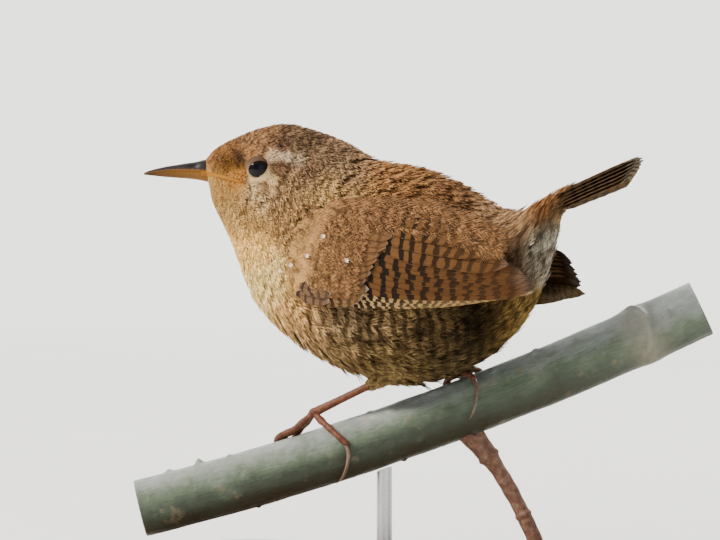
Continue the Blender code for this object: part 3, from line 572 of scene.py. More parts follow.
def tufts(surface, root, heading, length, width, rise, barbs, barb_width, seed, ragged=0.08):
    """Points, faces and local measures of many feathers.

    Each barb leaves the shaft, curves out to the feather's rounded outline and ends in a point. A point at s
    along and v across the feather lies on the surface at the root's place moved by s and v, turned by the
    heading, and at a height that climbs from rise[0] at the root to rise[1] at the tip.
    """
    random = np.random.default_rng(seed)
    count = len(length)
    half = barbs // 2
    rank = (np.arange(half) + 0.5) / half
    end = 0.42 + 0.58 * rank**0.85
    reach = np.sqrt(np.clip(1 - ((end - 0.42) / 0.6) ** 2, 0, 1))
    side = np.array((-1.0, 1.0))
    shape = (count, half, 2)
    jitter = random.normal(0, 1, (3, *shape))
    s_end = end[None, :, None] + ragged * 0.8 * jitter[0]
    v_end = reach[None, :, None] * side * (1 + 0.12 * jitter[1]) + ragged * jitter[2]
    s_start = s_end - 0.2 - 0.22 * np.abs(v_end)
    long, wide = per_feather(length), per_feather(width)
    s_mid = s_start + 0.55 * (s_end - s_start)
    v_mid = v_end * 0.72
    s = np.stack([s_start, s_mid, s_end], -1) * long
    v = np.stack([v_end * 0.05, v_mid, v_end], -1) * wide / 2
    bow = per_feather(random.normal(0, 0.06, count))
    v = v + bow * s**2 / long
    span = np.array((0, 0, 0, 1, 1, 1, 2))
    lean = np.array((-1, 1, 0, -1, 1, 0, 0))
    tall = np.array((0, 0, 1, 0, 0, 1, 0.3))
    thick = per_feather(barb_width)
    s7 = s[..., span]
    v7 = v[..., span] + lean * thick / 2 * np.array((1, 1, 1, 0.9, 0.9, 0.9, 0))
    part = s7 / long
    puff = random.normal(0, 1, shape)[..., None] * ragged * 0.9 * np.clip(part, 0, 1) ** 2
    low, high = (per_feather(r) for r in rise)
    lift = low + (high - low) * np.clip(part, 0, 1.2) ** 1.15 + tall * thick * 0.35 + puff
    lift = lift - 0.12 * (v7 / (wide / 2)) ** 2 * wide * 0.35
    step = 0.02
    base = surface(root[:, 0], root[:, 1], 0.0)
    one = surface(root[:, 0] + step, root[:, 1], 0.0) - base
    two = surface(root[:, 0], root[:, 1] + step, 0.0) - base
    out = surface(root[:, 0], root[:, 1], 1.0) - base
    stretch_one = np.linalg.norm(one, axis=1) / step
    stretch_two = np.linalg.norm(two, axis=1) / step
    cos, sin = per_feather(np.cos(heading)), per_feather(np.sin(heading))
    first = per_feather(root[:, 0]) + (s7 * cos - v7 * sin) / per_feather(stretch_one)
    second = per_feather(root[:, 1]) + (s7 * sin + v7 * cos) / per_feather(stretch_two)
    points = surface(first, second, lift)
    right = np.einsum("ij,ij->i", np.cross(one, two), out) > 0
    faces = BARB_FACES[None] + BARB_POINTS * np.arange(count * half * 2)[:, None, None]
    faces = faces.reshape(count, -1, 3)
    faces = np.where(right[:, None, None], faces, faces[..., ::-1])
    measures = {
        "along": part,
        "across": v7 / (wide / 2),
        "first": first,
        "second": second,
        "barb": random.normal(0, 1, shape)[..., None] * np.ones(BARB_POINTS),
    }
    return points.reshape(-1, 3), faces.reshape(-1, 3), {k: m.reshape(-1) for k, m in measures.items()}


def coat_depth(place):
    """How deep the coat is over the skin, thinnest at the bill."""
    return 0.3 + 1.3 * smooth_step(0.5, 9.0, place)


def feather_length(place, turn):
    """Feather length in millimetres along the body, longer under the tail."""
    long = 1.45 + 2.1 * smooth_step(0.6, 4.6, place) + 2.1 * smooth_step(5.0, 11.0, place)
    below = smooth_step(0.2, -0.7, np.sin(turn))
    return long + 1.4 * below * smooth_step(11.0, 13.5, place)


def scattered(spacing, seed, start=0.02, end=15.6):
    """Places over the body's surface, spread evenly with the spacing that each place asks for."""
    random = np.random.default_rng(seed)
    tries = 260000
    place = random.uniform(start, end, tries)
    turn = random.uniform(0, 2 * math.pi, tries)
    step = 0.01
    base = body_surface(place, turn, 0.0)
    one = (body_surface(place + step, turn, 0.0) - base) / step
    two = (body_surface(place, turn + step, 0.0) - base) / step
    area = np.linalg.norm(np.cross(one, two), axis=1)
    wanted = area / spacing(place, turn) ** 2
    scale = (end - start) * 2 * math.pi / tries
    keep = random.uniform(0, 1, tries) < wanted * scale
    return place[keep], turn[keep]


def body_feathers(place, turn, seed, barbs, size=1.0, loose=0.0):
    """The feathers rooted at the given places, with their colours. loose lifts and ruffles them."""
    random = np.random.default_rng(seed)
    count = len(place)
    length = feather_length(place, turn) * size * random.uniform(0.85, 1.15, count)
    width = length * random.uniform(0.5, 0.62, count) * (1 + 0.25 * smooth_step(6, 2, place))
    back = 0.35 * length / 2.4
    low = -coat_depth(place) - 0.05
    high = loose - 0.12 + random.normal(0, 0.05 + 0.4 * loose, count) * coat_depth(place)
    heading = random.normal(0, 0.08 + 0.2 * loose, count) + face_heading(place, turn)
    thick = np.clip(0.05 + 0.052 * length, 0.1, 0.3) * random.uniform(0.9, 1.1, count)
    step = 0.02
    ahead = body_surface(place + step, turn, 0.0) - body_surface(place, turn, 0.0)
    stretch = np.linalg.norm(ahead, axis=1) / step
    root = np.stack([np.maximum(place - back / stretch, 0.05), turn], -1)
    rag = 0.055 + 0.14 * loose
    points, faces, measure = tufts(
        body_surface, root, heading, length, width, (low, high), barbs, thick, seed + 1, rag
    )
    per = barbs * BARB_POINTS
    spot = picture_place(measure["first"], measure["second"])
    feather = np.repeat(random.uniform(0, 60, count), per)
    shade = np.repeat(random.normal(0, 1, count), per)
    edge = smooth_step(0.6, 1.0, measure["along"])
    rim = np.maximum(edge, smooth_step(0.45, 0.95, np.abs(measure["across"])))
    colour = plumage(spot, shade, feather * 0.02, rim)
    colour = colour * (1 + 0.06 * measure["barb"])[:, None] * (0.88 + 0.18 * edge)[:, None]
    shaft = np.exp(-((measure["across"] / 0.16) ** 2)) * 0.12
    # Painted shade: each barb is darkened to 0.66 towards the feather's root, where it lies under the
    # feathers over it.
    root_shade = 0.66 + 0.34 * smooth_step(0.1, 0.75, measure["along"])
    colour = np.clip(colour * ((1 - shaft) * root_shade)[:, None], 0.003, 1)
    first, second = np.repeat(root[:, 0], per), np.repeat(np.mod(turn, 2 * math.pi), per)
    uv = np.stack(
        [
            0.01 + 0.98 * first / LAST + 0.003 * (measure["along"] - 0.5),
            0.01 + 0.98 * second / (2 * math.pi) + 0.0015 * measure["across"],
        ],
        -1,
    )
    return points, faces, colour, patch_values(spot)[:, 7], uv


def head_measure(place, turn):
    """X and Z of the body's surface before the head is turned."""
    rows = between(SECTIONS, place)
    up = (1 + np.sin(turn)) / 2
    top, bottom = rows[..., 0:2], rows[..., 2:4]
    point = bottom + (top - bottom) * up[..., None]
    return point[..., 0], point[..., 1]


def face_heading(place, turn):
    """The lie parts round each eye, as water does round a stone, and swings downwards on the cheeks."""
    x, z = head_measure(place, turn)
    near = np.exp(-(((x - EYE_X + 0.8) / 3.0) ** 2) - ((z - EYE_Z) / 2.6) ** 2)
    swing = 0.75 * near * np.clip((z - EYE_Z) / 1.6, -1, 1)
    swing = swing - 0.3 * np.exp(-(((x + 22) / 4) ** 2) - ((z - 69.5) / 3) ** 2)
    return swing * np.where(np.cos(turn) < 0, -1, 1)


def clear_of_face(place, turn, length):
    """True for feathers that neither root nor lie on an eye, the bill or the gape."""
    x, z = head_measure(place, turn)
    back = 0.42 * length
    across, up = x - EYE_X, z - EYE_Z
    along = across * math.cos(EYE_TILT) + up * math.sin(EYE_TILT) + back
    square = up * math.cos(EYE_TILT) - across * math.sin(EYE_TILT)
    eye = (along / (EYE_WIDE + 0.14 + back)) ** 2 + (square / (EYE_TALL + 0.22)) ** 2 < 1
    bill = (x < -33.0) & (np.abs(z - 73.6) < 1.7)
    gape = (x < -27.2) & (np.abs(z - (73.3 - 0.2 * (x + 33.5))) < 0.42) & (np.abs(np.cos(turn)) > 0.5)
    return ~(eye | bill | gape)


def coat_finish(name, period, tint):
    """Feather barbs: the mesh's own markings, crossed by dark bars where the mesh asks for them.

    The bars are waves of X across the view's angle, the same on both flanks, leaned and shifted by noise.
    """
    finish = Finish(name, Roughness=0.8, Specular_IOR_Level=0.06)
    place = finish.place()
    x, y, z = finish.parts(place)
    flow = x * COS - y.absolute() * SIN + z * 0.1
    phase = flow / period + finish.noise(place, 0.22, 2.0) * 1.6
    wave = ((phase * (2 * math.pi)).sine() - 0.05) * 2.4
    bars = wave.clamped() * finish.attribute("barred", "Fac")
    plain = finish.attribute("plumage", "Color")
    barred = finish.mix(bars * 0.75, plain, finish.mix(1.0, plain, tint, "MULTIPLY"))
    grain = finish.noise(place, 3.5, 2.0)
    shade = finish.ramp(grain, ((0.3, grey(0.78)), (0.7, grey(1.14))))
    colour = finish.mix(1.0, barred, shade, "MULTIPLY")
    return finish.feed(Base_Color=colour, Roughness=0.72 + grain * 0.16)


def feather_mesh(name, points, faces, colour, barred, uv):
    """A mesh of feathers, with its markings in attributes."""
    thing = make_mesh(name, points, faces)
    put_values(thing, "plumage", colour_rows(colour))
    put_values(thing, "barred", barred)
    put_map(thing, np.clip(uv, 0, 1))
    return thing


def make_coat(name, place, turn, seed, barbs, material, slot, size=1.0, loose=0.0):
    """One or more meshes of feathers, each under the limit of triangles."""
    limit = PIECE_TRIANGLES // (barbs * len(BARB_FACES))
    for number, start in enumerate(range(0, len(place), limit)):
        rows = slice(start, start + limit)
        made = body_feathers(place[rows], turn[rows], seed + 31 * number, barbs, size, loose)
        fitted(feather_mesh(f"{name}_{number + 1}", *made), material, slot)


NOWHERE = 1e3  # a spacing so wide that no feather grows


def make_body_coat(material):
    """The body's feathers: small dense ones on the head, larger ones behind, and loose ones at the vent."""

    def kept(spacing, seed, start=0.02, end=15.9):
        place, turn = scattered(spacing, seed, start, end)
        clear = clear_of_face(place, turn, feather_length(place, turn)) | (place > 6)
        return place[clear], turn[clear]

    def on_body(p, a):
        return np.where(p > 5.0, np.clip(feather_length(p, a) * 0.238, 0.3, 1.35), NOWHERE)

    def on_head(p, a):
        return np.where(p <= 5.6, 0.2 * feather_length(p, a), NOWHERE)

    def at_vent(p, a):
        return np.where((np.sin(a) < 0.1) & (p > 8.5), 4.2, NOWHERE)

    make_coat("body_feathers", *kept(on_body, 5), 50, 16, material, "back_brown")
    make_coat("head_feathers", *kept(on_head, 6), 60, 14, material, "crown_brown")
    make_coat("loose_feathers", *kept(at_vent, 7, 8.5, 15.6), 90, 14, material, "breast_buff", 1.1, 0.5)


THIGH_TOP, THIGH_KNEE = (4.6, -5.8, 39.2), (-2.6, -5.0, 35.2)


def thigh_surface(place, turn, grow):
    """The thigh: a cone with rounded ends from inside the flank to the knee, place 0 to 1 along it."""
    place, turn, grow = np.broadcast_arrays(place, turn, grow)
    top, knee = np.array(THIGH_TOP), np.array(THIGH_KNEE)
    along = (knee - top) / np.linalg.norm(knee - top)
    across = np.cross(along, (0, 0, 1.0))
    across /= np.linalg.norm(across)
    up = np.cross(across, along)
    middle = top + (knee - top) * place[..., None]
    taper = 0.55 + 0.45 * np.clip(1 - place, 0, 1)
    radius = 0.7 + 2.1 * np.sqrt(np.clip(1.02 - place, 0.0, 2)) * taper + grow
    ring = across * np.cos(turn)[..., None] + up * np.sin(turn)[..., None]
    return middle + ring * radius[..., None]


def tuft_map(across, up, per, measure):
    """A small square of the map for each feather, at its own two shares of the map."""
    corner = np.repeat(np.stack([0.02 + 0.96 * across, 0.02 + 0.96 * up], -1), per, 0)
    return corner + 0.003 * np.stack([measure["along"] - 0.5, measure["across"] * 0.5], -1)


def make_thigh(material):
    """Short feathers laid on a small cone that closes round the shank at the knee."""
    random = np.random.default_rng(41)
    count, barbs = 260, 14
    place, turn = random.uniform(0.0, 0.86, count), random.uniform(0, 2 * math.pi, count)
    length = random.uniform(2.2, 2.9, count) * (1 - 0.35 * place)
    root = np.stack([place, turn], -1)
    heading = random.normal(0, 0.12, count)
    low, high = np.full(count, -0.5), np.full(count, 0.05) + random.normal(0, 0.1, count)
    points, faces, measure = tufts(
        thigh_surface, root, heading, length, length * 0.5, (low, high), barbs, np.full(count, 0.18), 42, 0.12
    )
    per = barbs * BARB_POINTS
    spot = np.stack([points[:, 0] * COS + points[:, 1] * SIN, points[:, 2]], -1)
    shade = np.repeat(random.normal(0, 1, count), per)
    own = np.repeat(random.uniform(0, 1, count), per)
    rim = smooth_step(0.6, 1.0, measure["along"])
    colour = plumage(spot, shade, own, rim) * (1 + 0.09 * measure["barb"])[:, None]
    uv = tuft_map(place, turn / (2 * math.pi), per, measure)
    thing = feather_mesh(
        "thigh_feathers", points, faces, np.clip(colour, 0.004, 1), np.full(len(points), 0.3), uv
    )
    return fitted(thing, material, "breast_buff")


def skin_surface(place, turn):
    """The skin lies under the coat by its depth, and rises a little round each eye to meet the lids."""
    x, z = head_measure(place, turn)
    near = np.exp(-((np.hypot(x - EYE_X, z - EYE_Z) / 2.3) ** 4)) * (np.abs(np.cos(turn)) > 0.3)
    return body_surface(place, turn, -coat_depth(place) + 0.28 * near)


def make_skin():
    """The skin: one closed tube of rings, coloured as the coat over it but darker, as painted shade for the
    coat's depths seen between the feathers.
    """
    place, turn = np.meshgrid(np.linspace(0, LAST, 260), circle(160), indexing="ij")
    thing = tube_mesh("skin", skin_surface(place, turn))
    spot = picture_place(place, turn).reshape(-1, 2)
    nothing = np.zeros(len(spot))
    put_values(thing, "barred", with_ends(patch_values(spot)[:, 7]))
    # Painted shade: the coat's colours at 0.7, for the shaded depths between the feathers.
    put_values(thing, "plumage", colour_rows(with_ends(plumage(spot, nothing, nothing, nothing)) * 0.7))
    uv = np.stack([0.01 + 0.98 * place.ravel() / LAST, 0.01 + 0.98 * turn.ravel() / (2 * math.pi)], -1)
    put_map(thing, with_ends(uv))
    return thing


# The wings


class WingSheet:
    """The surface that a folded wing lies on: just clear of the body, and smooth where it leaves it.

    The body's half width is gathered on a grid of X and Z as the largest of many points' distances from the
    middle, then blurred.
    """

    X0, Z0, CELL, COLUMNS, ROWS = -34.0, 30.0, 0.5, 150, 112

    def __init__(self, side):
        self.side = side
        place, turn = np.meshgrid(np.linspace(0, LAST, 1000), np.linspace(0, 2 * math.pi, 900), indexing="ij")
        points = body_surface(place, turn, 0.0).reshape(-1, 3)
        column = ((points[:, 0] - self.X0) / self.CELL).round().astype(int).clip(0, self.COLUMNS - 1)
        row = ((points[:, 2] - self.Z0) / self.CELL).round().astype(int).clip(0, self.ROWS - 1)
        width = np.zeros((self.COLUMNS, self.ROWS))
        np.maximum.at(width, (column, row), points[:, 1] * side)
        x = self.X0 + self.CELL * np.arange(self.COLUMNS)[:, None]
        z = self.Z0 + self.CELL * np.arange(self.ROWS)[None, :]
        free = WING_HALF_WIDTH - WING_ROUND_X * (x - WING_MID_X) ** 2 - WING_ROUND_Z * (z - WING_MID_Z) ** 2
        height = np.maximum(width + 0.55, free)
        for _ in range(3):
            beside = np.roll(height, 1, 0) + np.roll(height, -1, 0)
            height = (beside + np.roll(height, 1, 1) + np.roll(height, -1, 1) + height) / 5
        self.grid = height

    def height(self, x, z):
        """The sheet's distance from the middle plane, blended between the grid's four nearest cells."""
        column = np.clip((np.asarray(x, float) - self.X0) / self.CELL, 0, self.COLUMNS - 1.001)
        row = np.clip((np.asarray(z, float) - self.Z0) / self.CELL, 0, self.ROWS - 1.001)
        i, j = column.astype(int), row.astype(int)
        a, b = column - i, row - j
        g = self.grid
        low = g[i, j] * (1 - a) + g[i + 1, j] * a
        high = g[i, j + 1] * (1 - a) + g[i + 1, j + 1] * a
        return low * (1 - b) + high * b

    def surface(self, x, z, lift):
        x, z, lift = np.broadcast_arrays(x, z, lift)
        return np.stack([x, self.side * (self.height(x, z) + lift), z], axis=-1)

    def seen(self, place, z):
        """The X and Z of the sheet's point that is seen at a place across the picture."""
        x = np.asarray(place, float)
        for _ in range(6):
            x = (place + self.height(x, z) * SIN) / COS
        return np.stack([x, np.asarray(z, float)], -1)


# A row of feathers: count, root and tip of the lowest, root and tip of the highest, half width, lift at the
# root and at the tip, tilt, ground colour, bar colour, bars' period and share, pale edge, pale tip.
WING_ROWS = (
    (
        "primary", 8, (-13.0, 51.6), (15.2, 51.4), (-8.5, 54.8), (26.3, 53.0),
        1.35, (0.1, 0.25), 0.16, (0.38, 0.24, 0.1), (0.012, 0.008, 0.006), 1.5, 0.6, 0.0, 0.1,
    ),
    (
        "secondary", 8, (-9.0, 54.0), (25.6, 53.2), (-5.5, 62.0), (24.2, 55.8),
        1.9, (0.4, 0.5), 0.17, (0.115, 0.05, 0.017), (0.012, 0.008, 0.006), 2.5, 0.42, 0.9, 0.1,
    ),
    (
        "tertial", 4, (-3.8, 61.8), (21.4, 57.4), (-0.8, 67.2), (12.6, 64.8),
        2.2, (0.75, 0.85), 0.16, (0.13, 0.058, 0.02), (0.014, 0.009, 0.006), 2.1, 0.42, 1.0, 0.12,
    ),
    (
        "primary_covert", 4, (-15.0, 51.2), (-5.4, 50.9), (-13.4, 53.8), (-3.6, 53.2),
        1.15, (0.75, 0.7), 0.15, (0.2, 0.11, 0.045), (0.015, 0.009, 0.006), 1.7, 0.5, 0.4, 0.3,
    ),
    (
        "greater_covert", 9, (-14.0, 53.8), (-4.6, 53.8), (-8.2, 65.0), (0.6, 62.6),
        1.45, (0.9, 0.95), 0.16, (0.15, 0.072, 0.028), (0.05, 0.025, 0.012), 2.2, 0.22, 0.3, 0.12,
    ),
    (
        "alula", 2, (-16.4, 52.2), (-10.4, 50.9), (-15.8, 53.6), (-10.0, 52.4),
        1.35, (1.15, 1.2), 0.12, (0.13, 0.072, 0.04), (0.035, 0.02, 0.012), 1.7, 0.3, 1.8, 0.7,
    ),
)
# The far wing droops a little: the tips of its lowest and highest feather in these rows
FAR_TIPS = {"primary": ((23.0, 50.6), (31.2, 51.9)), "secondary": ((30.2, 53.4), (27.0, 57.8))}
WHITE_SPOTS = ((-18.3, 56.1), (-16.3, 57.2), (-13.4, 58.9), (-6.4, 58.3), (-10.5, 62.5))


def vane(surface, root, tip, half, lifts, tilt, thick, seed, rows=18, columns=9):
    """One flight feather on a sheet: a thin closed plate, cambered, with a raised shaft and a rounded tip.

    The half width rises from the quill, holds, and closes as a quarter ellipse at the tip. The outer web is
    narrower than the inner.
    """
    random = np.random.default_rng(seed)
    u = np.concatenate([np.linspace(0, 0.82, rows - 6), np.linspace(0.86, 1.0, 6) ** 0.85])
    v = np.linspace(-1, 1, columns)
    u, v = np.meshgrid(u, v, indexing="ij")
    body = 0.35 + 0.65 * smooth_step(0.0, 0.3, u)
    blunt = 0.8
    close = np.sqrt(np.clip(1 - (np.clip(u - blunt, 0, None) / (1.001 - blunt)) ** 2.2, 0, 1))
    wide = half * body * (0.04 + 0.96 * close)
    wide = wide * np.where(v < 0, 0.86, 1.08)
    ripple = 1 + 0.035 * np.sin(u * 47 + seed) * np.abs(v) + 0.03 * np.sin(u * 91 + 2 * seed) * np.abs(v) ** 3
    across = v * wide * ripple
    long = np.linalg.norm(tip - root)
    along = (tip - root) / long
    square = np.array([-along[1], along[0]])
    curve = -0.02 * long * np.sin(math.pi * u) + random.normal(0, 0.05) * u**2
    flat = root + (tip - root) * u[..., None] + square * (across + curve)[..., None]
    flat = flat + along * (-0.35 * half * np.abs(v) ** 2 * smooth_step(0.2, 0.9, u))[..., None]
    lift = lifts[0] + (lifts[1] - lifts[0]) * u - tilt * across + 0.06 * half * (1 - v**2)
    shaft = 0.09 * np.exp(-((v / 0.09) ** 2)) * (1 - 0.7 * u)
    barbs = 0.012 * np.sin((u * long - 0.9 * np.abs(across)) * 2 * math.pi / 0.9)
    top = surface(flat[..., 0], flat[..., 1], lift + thick + shaft + barbs)
    bottom = surface(flat[..., 0], flat[..., 1], lift)
    total = rows * columns
    faces = grid_faces(rows, columns)
    index = np.arange(total).reshape(rows, columns)
    loop = np.concatenate([index[0, :], index[1:, -1], index[-1, -2::-1], index[-2:0:-1, 0]])
    after = np.roll(loop, -1)
    rim = np.stack([loop, loop + total, after + total, after], -1)
    quads = np.concatenate([faces[:, ::-1], faces + total, rim[:, ::-1]])
    points = np.concatenate([top.reshape(-1, 3), bottom.reshape(-1, 3)])
    measure = np.stack([(u * long).ravel(), (across / half).ravel(), u.ravel()], -1)
    return points, quads, np.concatenate([measure, measure])


def joined_vanes(name, pieces, material, slot, node):
    """One mesh from many vanes: pieces hold points, quads, measures and a row of values for the finish."""
    points, faces, measures, marks, grounds, darks, uvs, start = [], [], [], [], [], [], [], 0
    for number, (p, q, m, ground, dark, mark, uv) in enumerate(pieces):
        points.append(p)
        faces.append(quads_to_triangles(q) + start)
        measures.append(np.column_stack([m[:, 0], m[:, 1], np.full(len(m), number * 1.37)]))
        marks.append(np.column_stack([m[:, 2], np.tile(mark, (len(m), 1))]))
        grounds.append(np.tile(ground, (len(m), 1)))
        darks.append(np.tile(dark, (len(m), 1)))
        uvs.append(np.asarray(uv) + 0.0028 * np.column_stack([m[:, 2] - 0.5, m[:, 1] * 0.5]))
        start += len(p)
    thing = make_mesh(name, np.concatenate(points), np.concatenate(faces))
    facing_out(thing)
    marks = np.concatenate(marks)
    put_values(thing, "vane", np.concatenate(measures))
    put_values(thing, "ground", colour_rows(np.concatenate(grounds)))
    put_values(thing, "dark", colour_rows(np.concatenate(darks)))
    for column, mark in enumerate(("reach", "period", "barred", "edge", "tip")):
        put_values(thing, mark, marks[:, column])
    put_map(thing, np.clip(np.concatenate(uvs), 0, 1))
    return fitted(thing, material, slot, node)


PALE_TIP, DARK_SHAFT = (0.8, 0.72, 0.6), (0.03, 0.018, 0.012)


def vane_finish(name, edging):
    """Flight feathers: dark bars across each vane, a dark shaft, pale edge and tip, and fine barbs."""
    finish = Finish(name, Roughness=0.7, Specular_IOR_Level=0.05)
    along, across, seed = finish.parts(finish.attribute("vane", "Vector"))
    spread, reach = across.absolute(), finish.attribute("reach", "Fac")
    ground, dark = finish.attribute("ground", "Color"), finish.attribute("dark", "Color")
    wander = finish.noise(finish.joined(along * 0.55, across * 0.7, seed), 1.0, 2.0)
    phase = (along + wander * 2.0 - spread * 0.4) / finish.attribute("period", "Fac")
    wave = (phase * (2 * math.pi)).sine() * 0.5 + 0.5
    share = finish.attribute("barred", "Fac")
    bars = wave.math("SMOOTH_MIN", (wave - (1.0 - share) + 0.12) * 5.0, 1.0, 0.1)
    bars = bars.math("MAXIMUM", bars, 0.0) * (1.12 - reach * reach * 0.7)
    barbs = ((along - spread * 0.9) * 34.0).sine()
    grain = finish.noise(finish.joined(along * 0.8 - spread, across * 4.0, seed), 3.0, 2.0)
    colour = finish.mix(bars * 0.92, ground, dark)
    inner = across.math("SMOOTH_MAX", across * 1.4 - 0.1, 0.0, 0.1)
    colour = finish.mix(inner * 0.55, colour, dark)
    edge = ((spread - 0.78) * 6.0).clamped() * finish.attribute("edge", "Fac")
    colour = finish.mix(edge * 0.55, colour, edging)
    spot = ((reach - 0.93) * 18.0).clamped() * finish.attribute("tip", "Fac")
    colour = finish.mix(spot, colour, PALE_TIP)
    colour = finish.mix(((0.075 - spread) * 20.0).clamped() * 0.55, colour, DARK_SHAFT)
    tone = finish.ramp(grain * 0.7 + barbs * 0.08 + 0.15, ((0.3, grey(0.72)), (0.7, grey(1.15))))
    colour = finish.mix(1.0, colour, tone, "MULTIPLY")
    bump = finish.bump(barbs * 0.4 + grain * 0.3, 0.35, 0.00006)
    return finish.feed(Base_Color=colour, Normal=bump, Roughness=0.55 + grain * 0.15)


def make_wing(sheet, name, material, seed, look):
    """One wing's flight feathers and larger coverts, row by row, each laid on the sheet."""
    pieces = []
    for row, (kind, count, low_root, low_tip, high_root, high_tip, *shape) in enumerate(WING_ROWS):
        half, lifts, tilt, ground, dark, period, share, edge, tip = shape
        drooping_in_shade = sheet.side > 0 and kind in FAR_TIPS
        if drooping_in_shade:
            low_tip, high_tip = FAR_TIPS[kind]
        random = np.random.default_rng(seed + row)
        for k in range(count):
            part = k / (count - 1)
            root = np.array(low_root) * (1 - part) + np.array(high_root) * part
            end = np.array(low_tip) * (1 - part) + np.array(high_tip) * part
            end = end + random.normal(0, 0.22, 2) * (1, 0.5)
            root, end = sheet.seen(*root), sheet.seen(*end)
            wide = half * random.uniform(0.95, 1.06)
            raised = (lifts[0] + 0.16 * part, lifts[1] + 0.16 * part)
            p, q, m = vane(sheet.surface, root, end, wide, raised, tilt, 0.14, seed + 40 * row + k)
            # Painted shade: the far wing's drooping primaries and secondaries get 0.4 of their ground colour,
            # as they lie in shade; their bars are halved too.
            colour = np.array(ground) * look.strength * random.uniform(0.9, 1.08) * (0.4 if drooping_in_shade else 1)
            m[:, 0] += root[0] + random.normal(0, 0.6 if kind == "primary" else 0.25)
            barred = share * (0.5 if drooping_in_shade else 1) * random.uniform(0.9, 1.1)
            mark = (period, barred, edge, tip * random.uniform(0.5, 1))
            uv = (0.05 + 0.9 * (row + 0.5) / 8, 0.05 + 0.9 * (k + 0.5) / 10)
            pieces.append((p, q, m, colour, dark, mark, uv))
    return joined_vanes(name, pieces, material, "wing_brown", "wing_left" if sheet.side < 0 else "wing_right")


def wing_tufts(sheet, name, material, seed, white_tip):
    """The small coverts and scapulars that run from the shoulder over the wing's front and top edge.

    Three groups are scattered in bands of the picture: lesser coverts in front, scapulars over the top edge,
    and a few coverts whose white tips end on given spots.
    """
    random = np.random.default_rng(seed)
    count, long = 900, 400
    a, b = random.uniform(0, 1, count + long), random.uniform(0, 1, count + long)
    front = np.arange(count + long) < count
    up = np.where(front, 52.8 + 14.2 * b, 64.6 + 4.6 * b)
    edge = -19.6 + 0.05 * (up - 55) ** 2 * 0.6
    across = np.where(front, edge + 11.5 * a**1.1, -12.0 + 29.0 * a)
    up = np.where(front, up, up - 0.012 * (across + 4) ** 2)
    length = np.where(front, 3.1 + 0.9 * a, 5.2) * random.uniform(0.9, 1.1, count + long)
    spots = np.array(WHITE_SPOTS)
    white = np.concatenate([np.zeros(count + long), np.ones(len(spots))])
    across, up = np.concatenate([across, spots[:, 0] - 2.0]), np.concatenate([up, spots[:, 1] + 0.25])
    a = np.concatenate([a, 0.1 * np.arange(len(spots))])
    b = np.concatenate([b, 0.5 * np.ones(len(spots))])
    length = np.concatenate([length, 2.1 * np.ones(len(spots))])
    front = np.concatenate([front, np.ones(len(spots), bool)])
    total = len(across)
    spot = sheet.seen(across, up)
    width = length * np.where(white > 0, 0.42, 0.66)
    heading = np.where(front, -0.16, -0.3) + random.normal(0, 0.06, total) * (1 - white)
    climb = smooth_step(0.0, 0.4, a)
    low = np.where(front, -1.3 + 2.2 * climb, 0.6)
    high = np.where(front, 0.25 + 1.6 * climb - 0.25 * a, 1.5) + random.normal(0, 0.03, total)
    low, high = np.where(white > 0, 1.2, low), np.where(white > 0, 2.1, high)
    barbs = 12
    thick = np.full(total, 0.24)
    points, faces, measure = tufts(
        sheet.surface, spot, heading, length, width, (low, high), barbs, thick, seed + 1, 0.025
    )
    per = barbs * BARB_POINTS
    across = measure["first"] * COS - sheet.height(measure["first"], measure["second"]) * SIN
    where = np.stack([across, measure["second"]], -1)
    shade = np.repeat(random.normal(0, 1, total), per)
    own = np.repeat(random.uniform(0, 1, total), per)
    warm = smooth_step(-20.0, -8.0, across)[:, None]
    light = np.array((0.50, 0.325, 0.14)) * (1 - warm) + np.array((0.33, 0.19, 0.095)) * warm
    dark = np.array((0.13, 0.075, 0.04))
    rim = smooth_step(0.45, 0.95, np.abs(measure["across"]))
    rim = np.maximum(smooth_step(0.6, 1.0, measure["along"]), rim)
    blotches = soft_noise(np.column_stack([where, own]), 0.9, 5) - 0.5
    mottle = 0.36 + 0.18 * shade + 0.8 * blotches + 0.35 * (rim - 0.4)
    share = smooth_step(0.05, 0.95, mottle)[:, None]
    colour = richer(light * (1 - share) + dark * share, 1.25)
    tip = (smooth_step(0.5, 0.62, measure["along"]) * np.repeat(white, per))[:, None]
    colour = colour * (1 - tip) + np.array(white_tip) * tip
    colour = colour * (1 + 0.09 * measure["barb"] - 0.1 * np.exp(-((measure["across"] / 0.16) ** 2)))[:, None]
    barred = np.full(len(points), 0.12)
    thing = feather_mesh(name, points, faces, np.clip(colour, 0.004, 1), barred, tuft_map(a, b, per, measure))
    return fitted(thing, material, "wing_brown")


# The tail


